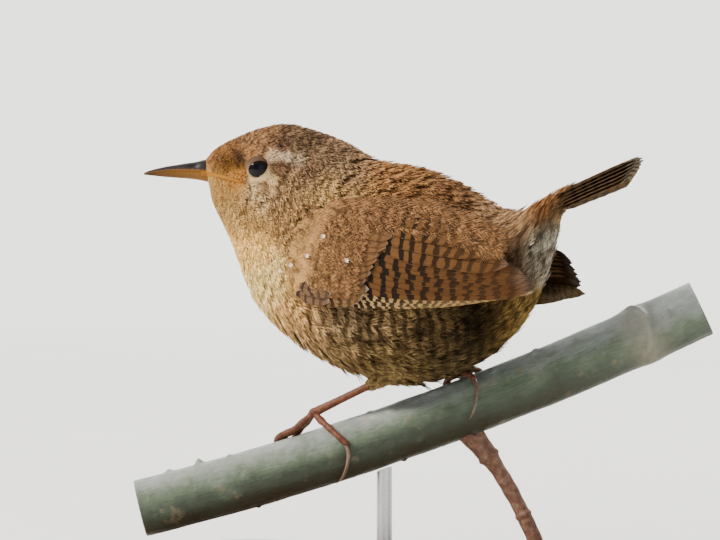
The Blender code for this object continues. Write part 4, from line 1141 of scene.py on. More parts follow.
def make_tail(material, ground, dark):
    """Twelve tail feathers: six pairs stacked like roof tiles, each pair a little more spread."""
    axis = np.array([math.cos(TAIL_PITCH), 0, math.sin(TAIL_PITCH)])
    up = np.array([-math.sin(TAIL_PITCH), 0, math.cos(TAIL_PITCH)])
    start = np.array([TAIL_ROOT[0], 0, TAIL_ROOT[1]]) - axis * TAIL_COVERED
    pieces = []
    for index, length in enumerate(TAIL_LENGTHS):
        for side in (-1, 1):
            random = np.random.default_rng(100 + 2 * index + side)
            roof = math.radians(8 + 4.5 * index)
            across = np.array([0, side * math.cos(roof), 0]) - up * math.sin(roof)
            lift = np.cross(axis, across) * -side

            def surface(s, v, h, across=across, lift=lift, index=index, side=side):
                s, v, h = np.broadcast_arrays(s, v, h)
                bend = -up * (0.15 * (s[..., None] / 18.0) ** 2)
                out = across * (0.45 + (0.24 + 0.05 * index) * s[..., None] / 6.0 + v[..., None])
                drop = up * (0.33 * index + (0.15 if side > 0 else 0))
                return start + axis * s[..., None] + out + lift * h[..., None] + bend - drop

            reach = length + TAIL_COVERED + random.normal(0, 0.12)
            root, end = np.array([0.0, 0.0]), np.array([reach, 0.0])
            p, q, m = vane(surface, root, end, 2.3, (0.0, 0.0), 0.0, 0.16, 300 + index, 20, 9)
            colour = np.array(ground) * random.uniform(0.92, 1.08)
            uv = (0.05 + 0.9 * (index + 0.5) / 6, 0.3 if side < 0 else 0.7)
            pieces.append((p, q, m, colour, dark, (2.25, 0.34, 0.15, 0.2), uv))
    return joined_vanes("tail_feathers", pieces, material, "tail_brown", "tail")


# The bill


def bill_surface(upper):
    """Rings along the bill: an arch over the mouth for the upper mandible, a keel under it for the lower."""
    count, sides = 60, 40
    rows = between(BILL_PROFILE, np.linspace(0, len(BILL_PROFILE) - 1, count))
    turn = circle(sides)
    along, culmen, mouth, under, half = (rows[:, k][:, None] for k in range(5))
    gap = 0.05 * (1 - 0.6 * along.clip(0) / 10.75)
    c, s = np.cos(turn)[None], np.sin(turn)[None]
    if upper:
        edge, far, wide = mouth + gap, culmen, half
    else:
        edge, far, wide = mouth - gap, under, half * 0.93
    tall = np.where(s > 0, np.abs(s) ** 0.9, -0.12 * np.abs(s))
    z = edge + (far - edge) * tall
    y = wide * np.sign(c) * np.abs(c) ** (0.85 if upper else 0.8)
    x = BILL_ROOT_X - along + 0.0 * c
    if upper:
        pinch = np.exp(-(((along - 1.7) / 0.75) ** 2) - (((z - 74.65) / 0.28) ** 2))
        y = y * (1 - 0.3 * pinch)
    return x, y, z, along + 0.0 * c, tall + 0.0 * along


def make_bill(upper, material):
    """One mandible as a closed tube, with how far along and how tall each point lies for its colours."""
    x, y, z, along, tall = bill_surface(upper)
    thing = tube_mesh("upper_mandible" if upper else "lower_mandible", head_point(x, y, z))
    put_values(thing, "along", np.concatenate([along.ravel(), [along[0, 0], along[-1, 0]]]))
    put_values(thing, "tall", np.concatenate([tall.ravel(), [0.5, 0.5]]))
    return fitted(thing, material, *(("bill_horn", "bill_upper") if upper else ("bill_yellow", "bill_lower")))


def bill_finish(upper, dark, warm):
    """Horn: dark above with a warm cutting edge, orange-yellow below, with faint growth lines."""
    finish = Finish("upper_bill_horn" if upper else "lower_bill_horn", Roughness=0.42, Specular_IOR_Level=0.2)
    along, tall = finish.attribute("along", "Fac"), finish.attribute("tall", "Fac")
    streak = finish.noise(finish.place(), 2.2, 3.0)
    if upper:
        share = tall * 1.9 + streak * 0.5 - 0.25
        colour = finish.ramp(share, ((0.2, scaled(warm, 0.9)), (0.5, scaled(dark, 1.7)), (1.0, dark)))
    else:
        share = along * 0.07 + streak * 0.35
        colour = finish.ramp(share, ((0.15, warm), (0.6, scaled(warm, 0.57)), (1.0, scaled(warm, 0.15))))
    bump = finish.bump(streak, 0.25, 0.00008)
    return finish.feed(Base_Color=colour, Normal=bump, Roughness=0.38 + streak * 0.16)


# The eyes, lids and gape


def make_eye(side, name, material):
    """A ball sunk under the skin: rings that fall from its outer pole to its inner one."""
    skin = float(head_side(EYE_X, EYE_Z))
    rows, sides = 40, 48
    fall, turn = np.meshgrid(np.linspace(0.02, math.pi - 0.02, rows), circle(sides), indexing="ij")
    x = EYE_X + EYE_RADIUS * np.sin(fall) * np.cos(turn)
    z = EYE_Z + EYE_RADIUS * np.sin(fall) * np.sin(turn)
    y = side * (skin - EYE_DEPTH + EYE_RADIUS * np.cos(fall))
    thing = tube_mesh(name, head_point(x, y, z))
    put_values(thing, "fall", np.concatenate([fall.ravel(), [0.0, math.pi]]))
    return fitted(thing, material, "eye_black", "eye_left" if side < 0 else "eye_right")


def eye_finish():
    """A wet eye: a black pupil in a very dark brown iris."""
    finish = Finish("dark_eye", Roughness=0.05, Specular_IOR_Level=0.16)
    fall = finish.attribute("fall", "Fac")
    fleck = finish.noise(finish.place(), 4.0, 3.0)
    stops = ((0.3, (0.002, 0.002, 0.003)), (0.42, (0.007, 0.004, 0.003)), (0.7, (0.005, 0.004, 0.003)))
    colour = finish.ramp(fall * 0.8 + fleck * 0.05, stops)
    return finish.feed(Base_Color=colour)


def make_lids(side, name, material, width):
    """Lids: a flat ring that lies on the ball round the opening, finely beaded, and drawn to a corner behind.

    Its cross-section is an ellipse much wider than it is thick, measured outwards from the opening's edge.
    """
    turn, around = np.meshgrid(circle(160), circle(20), indexing="ij")
    corner = 0.3 * np.exp(-((np.angle(np.exp(1j * turn)) / 0.42) ** 2))
    beads = 1 + 0.12 * np.sin(turn * 36)
    outward = width / 2 * (1 + np.cos(around))
    reach_x = (EYE_WIDE + corner + outward) * np.cos(turn)
    reach_z = (EYE_TALL + outward) * np.sin(turn)
    x = EYE_X + reach_x * math.cos(EYE_TILT) - reach_z * math.sin(EYE_TILT)
    z = EYE_Z + reach_x * math.sin(EYE_TILT) + reach_z * math.cos(EYE_TILT)
    ball = np.sqrt(np.clip(EYE_RADIUS**2 - reach_x**2 - reach_z**2, 0.02, None)) - EYE_DEPTH
    y = side * (head_side(EYE_X, EYE_Z) + ball + 0.05 + 0.11 * beads * np.sin(around))
    points = head_point(x, y, z)
    rows, sides = turn.shape
    index = np.arange(rows * sides).reshape(rows, sides)
    right, down = np.roll(index, -1, 1), np.roll(index, -1, 0)
    quads = np.stack([index, right, np.roll(right, -1, 0), down], -1).reshape(-1, 4)
    thing = make_mesh(name, points.reshape(-1, 3), quads_to_triangles(quads))
    facing_out(thing)
    put_values(thing, "outward", (outward / width).ravel())
    return fitted(thing, material, "crown_brown")


def lid_finish():
    """Bare lids: black at the opening, then brown above and buff below."""
    finish = Finish("lid_skin", Roughness=0.7, Specular_IOR_Level=0.15)
    grain = finish.noise(finish.place(), 5.0, 3.0)
    up = finish.node("ShaderNodeSeparateXYZ", {}, {0: finish.place()}, 2)
    share = (up - 73.6) * 0.4 + grain * 0.3
    buff, brown, dark = (0.34, 0.23, 0.13), (0.17, 0.10, 0.05), (0.08, 0.045, 0.025)
    outer = finish.ramp(share, ((0.1, buff), (0.4, brown), (0.9, dark)))
    outward = finish.attribute("outward", "Fac") + grain * 0.2
    colour = finish.mix(finish.level(outward, 0.14, 0.28), (0.012, 0.009, 0.008), outer)
    return finish.feed(Base_Color=colour, Normal=finish.bump(grain, 0.4, 0.0001))


def make_gape(side, name, material):
    """The fleshy lip from the bill's corner back to below the eye."""
    part = np.linspace(0, 1, 40)[:, None]
    turn = circle(16)[None]
    x = -34.4 + 7.6 * part
    z = 73.35 - 1.55 * part**1.5
    skin = head_side(np.maximum(x, -33.7), z)
    radius = 0.6 * np.sqrt(np.clip(1.02 - part**2.4, 0.0, 1)) * (0.75 + 0.25 * part)
    y = side * (skin - 0.32 + radius * np.cos(turn))
    points = head_point(x + 0 * turn, y, z + 0.85 * radius * np.sin(turn))
    return fitted(tube_mesh(name, points), material, "bill_yellow")


def gape_finish(flesh):
    """Soft flesh in two tones."""
    finish = Finish("gape_skin", Roughness=0.6, Specular_IOR_Level=0.12)
    grain = finish.noise(finish.place(), 4.0, 3.0)
    colour = finish.ramp(grain, ((0.3, scaled(flesh, 0.6)), (0.7, flesh)))
    return finish.feed(Base_Color=colour, Normal=finish.bump(grain, 0.3, 0.0001))


# The stem and the legs


def stem_point(place):
    """The stem's middle line: a shallow parabola in the upright plane of the stem's yaw."""
    run = np.asarray(place, float) - STEM_MID
    height = STEM_HEIGHT + STEM_SLOPE * run + STEM_BOW * run * run
    return np.stack([place * COS, place * SIN, height], -1)


def stem_frame(place):
    """Centre, direction, near side and top of the stem at each place."""
    place = np.asarray(place, float)
    along = stem_point(place + 0.01) - stem_point(place - 0.01)
    along /= np.linalg.norm(along, axis=-1, keepdims=True)
    near = np.broadcast_to(np.array([SIN, -COS, 0.0]), along.shape)
    return stem_point(place), along, near, np.cross(near, along)


def round_stem(place, turn, height):
    """A point at an angle round the stem, from its near side over its top, and a height over its skin."""
    centre, _, near, top = stem_frame(place)
    turn = np.asarray(turn, float)[..., None]
    reach = (STEM_RADIUS + np.asarray(height, float))[..., None]
    return centre + (near * np.cos(turn) + top * np.sin(turn)) * reach


# Buds and prickle bases: place along the stem, degrees round it, height, width
PRICKLES = (
    (-33.0, 86, 1.1, 1.0),
    (-38.5, 96, 0.5, 0.9),
    (-27.5, 78, 0.45, 0.8),
    (-2.0, 84, 0.3, 0.9),
    (28.0, 72, 0.5, 1.0),
    (4.6, -30, 0.35, 0.8),
    (13.6, -60, 0.8, 0.7),
    (1.0, -82, 0.4, 0.6),
    (-25.0, -80, 0.4, 0.6),
    (20.5, 60, 0.35, 0.8),
    (50.5, 20, 0.3, 1.0),
)


def stem_height(place, turn):
    """How far the bark stands off its radius: a scar's curved ridge, buds, prickle bases and fine ribs."""
    swell = 0.36 * np.exp(-(((place - SCAR_PLACE) / 2.4) ** 2))
    ridge_at = SCAR_PLACE + 1.6 - 2.4 * (turn - 0.45) ** 2
    ridge = 0.75 * np.exp(-(((place - ridge_at) / 0.55) ** 2)) * np.exp(-(((turn - 0.45) / 1.0) ** 4))
    dent = -0.45 * np.exp(-(((place - SCAR_PLACE - 3.2) / 1.3) ** 2) - ((turn - 0.45) / 0.5) ** 2)
    total = swell + ridge + dent
    for at, degrees, tall, wide in PRICKLES:
        far = np.angle(np.exp(1j * (turn - math.radians(degrees)))) * STEM_RADIUS
        lean = (place - at - 0.25 * far) / (0.7 * wide)
        total = total + tall * np.exp(-(lean**2) - (far / (0.55 * wide)) ** 2)
    flute = 0.05 * np.sin(5 * turn + 0.05 * place) + 0.04 * np.sin(11 * turn + 0.6)
    spot = np.stack([place * 0.35, np.cos(turn) * STEM_RADIUS, np.sin(turn) * STEM_RADIUS], -1)
    rough = 0.16 * (soft_noise(spot, 1.6, 11) - 0.5) + 0.07 * (soft_noise(spot * (3, 1, 1), 0.6, 12) - 0.5)
    return total + flute + rough


def make_stem(material):
    """The bark as rings along the stem, drawn in at both ends as a small bevel."""
    rows, sides = 440, 112
    ends = np.array((0.0, 0.0, 0.1))
    middle = np.linspace(STEM_START + 0.25, STEM_END - 0.25, rows - 6)
    along = np.concatenate([STEM_START + ends, middle, STEM_END - ends[::-1]])
    place, turn = np.meshgrid(along, np.linspace(-math.pi, math.pi, sides, endpoint=False), indexing="ij")
    bevel = np.zeros(rows)
    bevel[[0, 1, -2, -1]] = 0.35, 0.1, 0.1, 0.35
    points = round_stem(place, turn, stem_height(place, turn) - bevel[:, None])
    thing = tube_mesh("stem", points)
    put_values(thing, "along", np.concatenate([place.ravel(), [STEM_START - 0.5, STEM_END + 0.5]]))
    put_values(thing, "turn", np.concatenate([turn.ravel(), [0, 0]]))
    end = np.concatenate([np.repeat(bevel > 0.2, sides), (True, True)]).astype(float)
    put_values(thing, "cut", end)
    return fitted(thing, material, "stem_green", "perch_stem")


def tube_along(path, radii, sides, flat=1.0):
    """Round rings square to a path, carried along it with no twist."""
    path = np.asarray(path, float)
    tangent = np.gradient(path, axis=0)
    tangent /= np.linalg.norm(tangent, axis=1)[:, None]
    guide = np.array([0.0, 0.0, 1.0]) if abs(tangent[0][2]) < 0.8 else np.array([1.0, 0.0, 0.0])
    across = np.cross(tangent, guide)
    across /= np.linalg.norm(across, axis=1)[:, None]
    guide = np.cross(across, tangent)
    turn = circle(sides)
    ring = np.cos(turn)[None, :, None] * across[:, None] * flat + np.sin(turn)[None, :, None] * guide[:, None]
    return path[:, None] + ring * np.asarray(radii)[:, None, None]


def make_twig(material):
    """The side twig: a bowed line from the stem's middle, thick at its root, with two joints."""
    start = stem_point(TWIG_PLACE)
    end = np.array([TWIG_END[0] * COS, TWIG_END[0] * SIN, TWIG_END[1]])
    part = np.linspace(0, 1, 120)[:, None]
    bend = np.array([0.8, 0.3, 1.2])
    path = start + (end - start) * part + bend * np.sin(math.pi * part)
    wave = 0.05 * np.sin(part[:, 0] * 23) + 0.04 * np.sin(part[:, 0] * 61)
    radii = TWIG_RADIUS * (1 + 1.1 * np.exp(-((part[:, 0] / 0.3) ** 2))) + wave
    for at, tall, wide in ((0.38, 0.45, 0.02), (0.8, 0.3, 0.015)):
        radii = radii + tall * np.exp(-(((part[:, 0] - at) / wide) ** 2))
    return fitted(tube_mesh("twig", tube_along(path, radii, 32)), material, "stem_green")


CUT_WOOD = (0.55, 0.47, 0.3)


def stem_finish(bark, bloom_and_top_light):
    """Smooth green bark with scars and specks, its top pale and bluish and its underside olive and brown. The
    pale top is the bark's own waxy coating together with painted light from above and a painted highlight
    along its top edge; the dark underside is painted shade.
    """
    finish = Finish("green_bark", Roughness=0.55, Specular_IOR_Level=0.35)
    along, turn = finish.attribute("along", "Fac"), finish.attribute("turn", "Fac")
    place = finish.place()
    # Painted light and shade: high runs from -1 under the stem to 1 on its top, lifting the colour towards
    # the lit top and sinking it towards the shaded underside.
    high = turn.sine()
    coarse = finish.noise(place, 0.16, 4.0, 0.6)
    fine = finish.noise(place, 1.1, 5.0, 0.65)
    grain = finish.noise(finish.joined(along * 0.16, turn * 5.0, 0.0), 3.0, 5.0, 0.6)
    pale = (along - 24.0) * 0.009
    share = high * 0.42 + coarse * 0.62 + grain * 0.32 - 0.08 + pale.math("MAXIMUM", pale, 0.0)
    # The ramp runs from painted shade to painted light as well as through the bark's random tones: shady for
    # the shaded underside, green and bark for the sides, half_lit_pale for the pale top at half light, and
    # bloom_and_top_light for the waxy, lit top.
    shady, green, half_lit_pale = (0.03, 0.028, 0.014), scaled(bark, 0.47), scaled(bloom_and_top_light, 0.51)
    colour = finish.ramp(share, ((0.0, shady), (0.3, green), (0.52, bark), (0.78, half_lit_pale), (1.0, bloom_and_top_light)))
    blotch = finish.level(finish.noise(place, 0.33, 3.0, 0.55), 0.62, 0.7)
    colour = finish.mix(blotch * 0.35, colour, (0.23, 0.17, 0.10))
    speck = finish.level(finish.noise(place, 2.6, 1.0), 0.71, 0.77)
    colour = finish.mix(speck * 0.5, colour, (0.07, 0.05, 0.035))
    scar = (along - SCAR_PLACE) * 0.32
    scar = scar.math("POWER", 2.718, 0.0 - scar * scar) * (fine * 1.4)
    colour = finish.mix(scar * 0.7, colour, (0.26, 0.23, 0.17))
    colour = finish.mix(finish.attribute("cut", "Fac"), colour, CUT_WOOD)
    bump = finish.bump(grain * 0.7 + fine * 0.5, 0.5, 0.0003)
    return finish.feed(Base_Color=colour, Normal=bump, Roughness=0.42 + fine * 0.3)


def twig_finish():
    """Rough reddish bark in three tones."""
    finish = Finish("twig_bark", Roughness=0.6, Specular_IOR_Level=0.3)
    place = finish.place()
    grain = finish.noise(place, 0.9, 5.0, 0.65)
    dark, brown, pale = (0.07, 0.032, 0.022), (0.17, 0.08, 0.05), (0.30, 0.20, 0.13)
    colour = finish.ramp(grain, ((0.25, dark), (0.5, brown), (0.75, pale)))
    bump = finish.bump(grain, 0.6, 0.0003)
    return finish.feed(Base_Color=colour, Normal=bump, Roughness=0.5 + grain * 0.25)


LEG_RADIUS, TOE_RADIUS = 0.72, 0.62
# Feet: the ankle's place along the stem and height over it, the knee, then for each toe and its claw the
# points it passes: distance along the stem from the ankle, degrees round the stem, height over the bark.
LEGS = {
    "left": {
        "foot": (-11.2, 3.0),
        "knee": (-1.6, -5.0, 35.7),
        "toes": (
            ((0.7, 78, 1.6), (1.6, 56, 1.05), (2.6, 34, 0.95), (4.0, 8, 0.95)),
            ((-1.5, 100, 2.0), (-3.2, 108, 1.1), (-4.6, 128, 0.95), (-5.6, 152, 0.95)),
            ((-2.0, 94, 2.0), (-4.2, 98, 1.1), (-6.0, 116, 0.95), (-7.4, 142, 0.95)),
            ((-2.2, 88, 2.0), (-4.6, 88, 1.1), (-6.6, 100, 0.95), (-8.0, 124, 0.95)),
        ),
        "claws": (
            ((3.6, -4, 0.95), (2.6, -25, 1.1), (1.3, -44, 1.05), (0.0, -62, 0.6)),
            ((-5.9, 164, 0.9), (-6.0, 178, 0.85), (-6.0, 192, 0.4)),
            ((-8.0, 154, 0.9), (-8.4, 168, 0.85), (-8.6, 182, 0.4)),
            ((-8.7, 136, 0.9), (-9.3, 149, 0.85), (-9.7, 162, 0.4)),
        ),
    },
    "right": {
        "foot": (15.3, 1.25),
        "knee": (13.2, 4.4, 39.6),
        "toes": (
            ((0.3, 76, 1.05), (0.8, 66, 1.0), (1.2, 55, 0.95), (1.4, 45, 0.95)),
            ((0.9, 100, 1.1), (2.2, 116, 1.0), (3.2, 138, 0.95), (3.8, 160, 0.95)),
            ((-0.2, 102, 1.1), (-0.4, 122, 1.0), (-0.6, 146, 0.95), (-0.8, 170, 0.95)),
            ((-1.3, 98, 1.1), (-2.8, 114, 1.0), (-4.0, 136, 0.95), (-4.8, 158, 0.95)),
        ),
        "claws": (
            ((1.45, 36, 0.95), (1.0, 20, 1.15), (0.2, 4, 1.3), (-0.9, -10, 1.1), (-1.8, -20, 0.5)),
            ((4.0, 172, 0.9), (4.1, 186, 0.85), (4.1, 200, 0.4)),
            ((-0.9, 182, 0.9), (-1.0, 196, 0.85), (-1.0, 210, 0.4)),
            ((-5.2, 170, 0.9), (-5.4, 184, 0.85), (-5.5, 198, 0.4)),
        ),
    },
}


def leg_tube(path, radii, ridge, pitch, sides=28):
    """A tube with overlapping scutes on its upper side: saw-tooth steps along it that fade underneath."""
    path, radii = np.asarray(path), np.asarray(radii)
    length = np.concatenate([[0], np.cumsum(np.linalg.norm(np.diff(path, axis=0), axis=1))])
    rings = tube_along(path, np.ones(len(path)), sides) - path[:, None]
    saw = 1 - np.mod(length / pitch, 1.0)
    turn = circle(sides)
    over = 0.45 + 0.55 * np.sin(turn)
    size = radii[:, None] * (1 + ridge * (saw[:, None] - 0.5) * over[None])
    return path[:, None] + rings * size[..., None]


def make_leg(side, skin, claw, thickness):
    """A shank from the belly to the ankle, four toes laid over the stem, and a hooked claw beyond each."""
    leg = LEGS[side]
    foot, height = leg["foot"]
    ankle = round_stem(np.array(foot), np.array(math.pi / 2), np.array(height))
    knee = np.array(leg["knee"])
    part = np.linspace(0, 1, 190)[:, None]
    knee = knee + (knee - ankle) / np.linalg.norm(knee - ankle) * 2.6
    shank = knee + (ankle - knee) * part
    swell = np.interp(part[:, 0], (0, 0.15, 0.35, 0.6, 0.85, 1), (1.15, 1.0, 0.93, 0.95, 1.06, 1.2))
    tubes = [(leg_tube(shank, thickness * swell, 0.09, 1.5), "shank")]
    for toe, nail in zip(leg["toes"], leg["claws"]):
        toe, nail = np.array(toe, float), np.array(nail, float)
        skin_points = round_stem(foot + toe[:, 0], np.radians(toe[:, 1]), toe[:, 2])
        points = np.concatenate([ankle[None], skin_points])
        path = between(points, np.linspace(0, len(points) - 1, 150))
        along = np.linspace(0, 1, 150)
        pads = 1 + 0.1 * np.cos(along * 2 * math.pi * 3.5)
        radii = TOE_RADIUS * (1.12 - 0.3 * along) * pads * np.sqrt(np.clip((1.004 - along) / 0.05, 0.15, 1))
        tubes.append((leg_tube(path, radii, 0.1, 0.75), "toe"))
        tip = round_stem(foot + nail[:, 0], np.radians(nail[:, 1]), nail[:, 2])
        hook = np.concatenate([[points[-2] * 0.3 + points[-1] * 0.7], tip])
        line = between(hook, np.linspace(0, len(hook) - 1, 80))
        taper = np.interp(np.linspace(0, 1, 80), (0, 0.2, 0.6, 0.9, 1), (0.4, 0.38, 0.27, 0.13, 0.04))
        tubes.append((tube_along(line, taper, 16), "claw"))
    for number, (rings, kind) in enumerate(tubes):
        nodes = (f"leg_{side}",) if number == 0 else ()
        thing = tube_mesh(f"{side}_{kind}_{number}", rings)
        fitted(thing, claw if kind == "claw" else skin, "leg_brown", *nodes)
    turn, fall = np.meshgrid(circle(24), np.linspace(0.05, math.pi - 0.05, 16))
    ball = [np.sin(fall) * np.cos(turn) * 0.95, np.sin(fall) * np.sin(turn) * 0.95, np.cos(fall) * 0.85]
    fitted(tube_mesh(f"{side}_ankle", ankle + np.stack(ball, -1)), skin, "leg_brown")


def leg_finish(scale):
    """Dry scales in three tones, with a fine grain."""
    finish = Finish("leg_scales", Roughness=0.5, Specular_IOR_Level=0.25)
    place = finish.place()
    grain = finish.noise(place, 1.3, 4.0, 0.6)
    colour = finish.ramp(grain, ((0.3, scaled(scale, 0.5)), (0.55, scale), (0.8, scaled(scale, 1.8))))
    fine = finish.noise(place, 5.0, 3.0)
    return finish.feed(Base_Color=colour, Normal=finish.bump(fine, 0.4, 0.0001), Roughness=0.44 + grain * 0.2)


def claw_finish():
    """Dark horn in two tones."""
    finish = Finish("claw_horn", Roughness=0.3, Coat_Weight=0.2)
    grain = finish.noise(finish.place(), 2.0, 3.0)
    colour = finish.ramp(grain, ((0.3, (0.09, 0.045, 0.03)), (0.7, (0.2, 0.12, 0.08))))
    return finish.feed(Base_Color=colour, Roughness=0.26 + grain * 0.16)


# The stand


def wood_finish(wood):
    """Dark walnut: long rings warped by noise, with fine pores along the grain."""
    finish = Finish("walnut", Roughness=0.38, Coat_Weight=0.25, Coat_Roughness=0.25)
    place = finish.place()
    x, y, z = finish.parts(place)
    warp = finish.noise(finish.joined(x * 0.045, y, z), 0.16, 3.0)
    rings = ((y + warp * 16.0) * 1.15).sine() * 0.5 + 0.5
    pores = finish.noise(finish.joined(x * 0.06, y, z), 2.4, 3.0, 0.7)
    stops = ((0.15, scaled(wood, 0.4)), (0.5, wood), (0.9, scaled(wood, 1.75)))
    colour = finish.ramp(rings * 0.55 + pores * 0.5, stops)
    bump = finish.bump(pores, 0.25, 0.0002)
    return finish.feed(Base_Color=colour, Normal=bump, Roughness=0.3 + pores * 0.2)


def steel_finish():
    """Brushed steel, a little cloudy."""
    finish = Finish("brushed_steel", Metallic=1.0, Roughness=0.3)
    grain = finish.noise(finish.place(), 3.0, 3.0)
    colour = finish.ramp(grain, ((0.3, (0.5, 0.5, 0.51)), (0.7, (0.66, 0.66, 0.67))))
    return finish.feed(Base_Color=colour, Roughness=0.24 + grain * 0.16)


BASE_LENGTH, BASE_WIDTH, BASE_HEIGHT, BASE_CORNER = 84.0, 54.0, 5.0, 9.0


def make_base(material, corner):
    """The wooden base: one rounded rectangle carried up a rounded edge profile."""
    turn = circle(160)
    inner = np.array([BASE_LENGTH / 2 - corner, BASE_WIDTH / 2 - corner])
    quarter = np.floor(turn / (math.pi / 2)).astype(int)
    sign = np.array(((1, 1), (-1, 1), (-1, -1), (1, -1)))[quarter]
    ring = np.stack([np.cos(turn), np.sin(turn)], -1)
    edge = np.linspace(0, math.pi / 2, 9)
    profile = [(0.0, 0.5), (0.5, 0.0)]
    profile += [(BASE_HEIGHT - 1.2 + 1.2 * math.sin(a), 1.2 - 1.2 * math.cos(a)) for a in edge]
    profile += [(BASE_HEIGHT, k) for k in (3.0, 6.0)]
    rings = [
        np.column_stack([sign * inner + ring * (corner - inset), np.full(len(turn), height)])
        for height, inset in profile
    ]
    return fitted(tube_mesh("wooden_base", np.array(rings)), material, "base_wood", "stand_base")


# The studio


FRAME_MIDDLE_ACROSS, FRAME_MIDDLE_UP, FRAME_WIDTH = -5.4, 56.0, 129.6
CAMERA_LENS, CAMERA_TILT = 400.0, math.radians(2)


def make_stage(look):
    """A pale floor that curves up behind, a long lens at the picture's angle, and soft studio light."""
    part = np.linspace(0, 1, 60)
    run = np.interp(part, (0, 0.6, 1), (-2600, 1900, 3100))
    rise = np.where(part > 0.6, ((part - 0.6) / 0.4) ** 2 * 1600, 0.0)
    across = np.array([COS, SIN, 0.0])
    away = np.array([-SIN, COS, 0.0])
    side = np.linspace(-3200, 3200, 12)
    points = across * side[None, :, None] + away * run[:, None, None]
    points = points + np.array([0, 0, 1.0]) * (rise[:, None, None] - 0.02)
    floor = make_mesh("floor", points.reshape(-1, 3), quads_to_triangles(grid_faces(60, 12))[:, ::-1])
    floor.data.materials.append(floor_finish(look.floor))
    middle = across * FRAME_MIDDLE_ACROSS + np.array([0, 0, FRAME_MIDDLE_UP])
    lens, sensor = look.lens, 36.0
    distance = look.width / MM * lens / sensor
    tilt = CAMERA_TILT
    toward = -away * math.cos(tilt) + np.array([0, 0, math.sin(tilt)])
    camera_data = bpy.data.cameras.new("camera")
    camera_data.lens, camera_data.sensor_width = lens, sensor
    camera_data.clip_start, camera_data.clip_end = 0.05, 20
    camera = bpy.data.objects.new("camera", camera_data)
    bpy.context.scene.collection.objects.link(camera)
    camera.location = (middle + toward * distance) * MM
    camera.rotation_euler = (math.pi / 2 - tilt, 0, STEM_YAW)
    bpy.context.scene.camera = camera
    add_light("key", (-560, -430, 600), 300, look.key, (1.0, 0.95, 0.87))
    add_light("fill", (560, -640, 240), 700, 1.3, (0.92, 0.96, 1.0))
    add_light("rim", (200, 560, 640), 500, 6.0, (1.0, 0.97, 0.92))
    add_light("backdrop", away * 1500 + np.array([0, 0, 1400]), 1600, 60.0, (1.0, 0.99, 0.97), away * 2300)
    world = bpy.data.worlds.new("studio")
    world.use_nodes = True
    world.node_tree.nodes["Background"].inputs["Color"].default_value = (0.93, 0.96, 1.0, 1)
    world.node_tree.nodes["Background"].inputs["Strength"].default_value = 0.5
    bpy.context.scene.world = world


def add_light(name, place, size, power, colour, aim=(0, 0, 50)):
    """A round soft light that looks at a point, the bird's by default."""
    light = bpy.data.lights.new(name, "AREA")
    light.shape, light.size, light.energy, light.color = "DISK", size * MM, power, colour
    made = bpy.data.objects.new(name, light)
    bpy.context.scene.collection.objects.link(made)
    made.location = np.array(place) * MM
    made.rotation_euler = (Vector(aim) - Vector(place)).to_track_quat("-Z", "Y").to_euler()
    made.visible_camera = False


def floor_finish(pale):
    """A pale matt surface, a little cloudy."""
    finish = Finish("pale_floor", Roughness=0.8)
    grain = finish.noise(finish.place(), 0.02, 2.0)
    colour = finish.ramp(grain, ((0.0, scaled(pale, 0.95)), (1.0, pale)))
    return finish.feed(Base_Color=colour)


# The add-on: settings, operators and panel


def number_setting(name, description, default, low, high, **more):
    return bpy.props.FloatProperty(
        name=name, description=description, default=default, min=low, max=high, **more
    )


def length_setting(name, description, default, low, high):
    return number_setting(name, description, default, low, high, precision=5, unit="LENGTH")


def colour_setting(name, description, default):
    return bpy.props.FloatVectorProperty(
        name=name, description=description, default=default, min=0, max=1, size=3, subtype="COLOR"
    )


class CoatSettings(bpy.types.PropertyGroup):
    """Sizes and colours of the body's feathers."""

    bar_period: length_setting(
        "Bar period", "Distance from one dark bar of the flanks to the next", BAR_PERIOD * MM, 0.0005, 0.02
    )
    bar_tint: colour_setting("Bar tint", "What multiplies the plumage in a dark bar", (0.17, 0.15, 0.15))


class WingSettings(bpy.types.PropertyGroup):
    """Colours of the wings."""

    strength: number_setting(
        "Strength", "Brightness of the flight feathers' ground colours", 1.0, 0.1, 3, subtype="FACTOR"
    )
    edging: colour_setting("Edging", "Pale edge of a flight feather", (0.27, 0.145, 0.06))
    white_tip: colour_setting("White tip", "Tip of a spotted covert", (0.85, 0.74, 0.66))


class TailSettings(bpy.types.PropertyGroup):
    """Colours of the tail."""

    ground: colour_setting("Ground", "Tail feathers between their bars", (0.135, 0.078, 0.028))
    dark: colour_setting("Bars", "Dark bars of the tail feathers", (0.03, 0.018, 0.012))


class BillSettings(bpy.types.PropertyGroup):
    """Colours of the bill."""

    dark: colour_setting("Ridge", "Dark horn of the upper mandible", (0.018, 0.012, 0.012))
    warm: colour_setting("Horn yellow", "Horn of the lower mandible at its root", (0.2, 0.085, 0.01))


class EyeSettings(bpy.types.PropertyGroup):
    """Sizes and colours of the eyes' surroundings."""

    lid_width: length_setting(
        "Lid width", "How far the bare lids reach from the eye's opening", LID_WIDTH * MM, 0.0002, 0.002
    )
    gape: colour_setting("Gape", "Fleshy corner of the mouth", (0.33, 0.135, 0.014))


class LegSettings(bpy.types.PropertyGroup):
    """Sizes and colours of the legs."""

    radius: length_setting("Shank radius", "Radius of a leg above the toes", LEG_RADIUS * MM, 0.0003, 0.002)
    scale: colour_setting("Scales", "Middle colour of the scales", (0.12, 0.04, 0.018))


class StemSettings(bpy.types.PropertyGroup):
    """Colours of the stem."""

    bark: colour_setting("Bark", "Green bark", (0.09, 0.118, 0.075))
    # The stem's pale top: the bark's own waxy coating together with painted light from above.
    bloom_and_top_light: colour_setting("Bloom", "Pale waxy bloom on the bark's upper side", (0.45, 0.49, 0.45))


class StandSettings(bpy.types.PropertyGroup):
    """Sizes and colours of the display stand."""

    corner: length_setting(
        "Corner radius", "Radius of the base's four corners", BASE_CORNER * MM, 0.004, 0.02
    )
    wood: colour_setting("Wood", "Middle colour of the base's wood", (0.13, 0.06, 0.028))


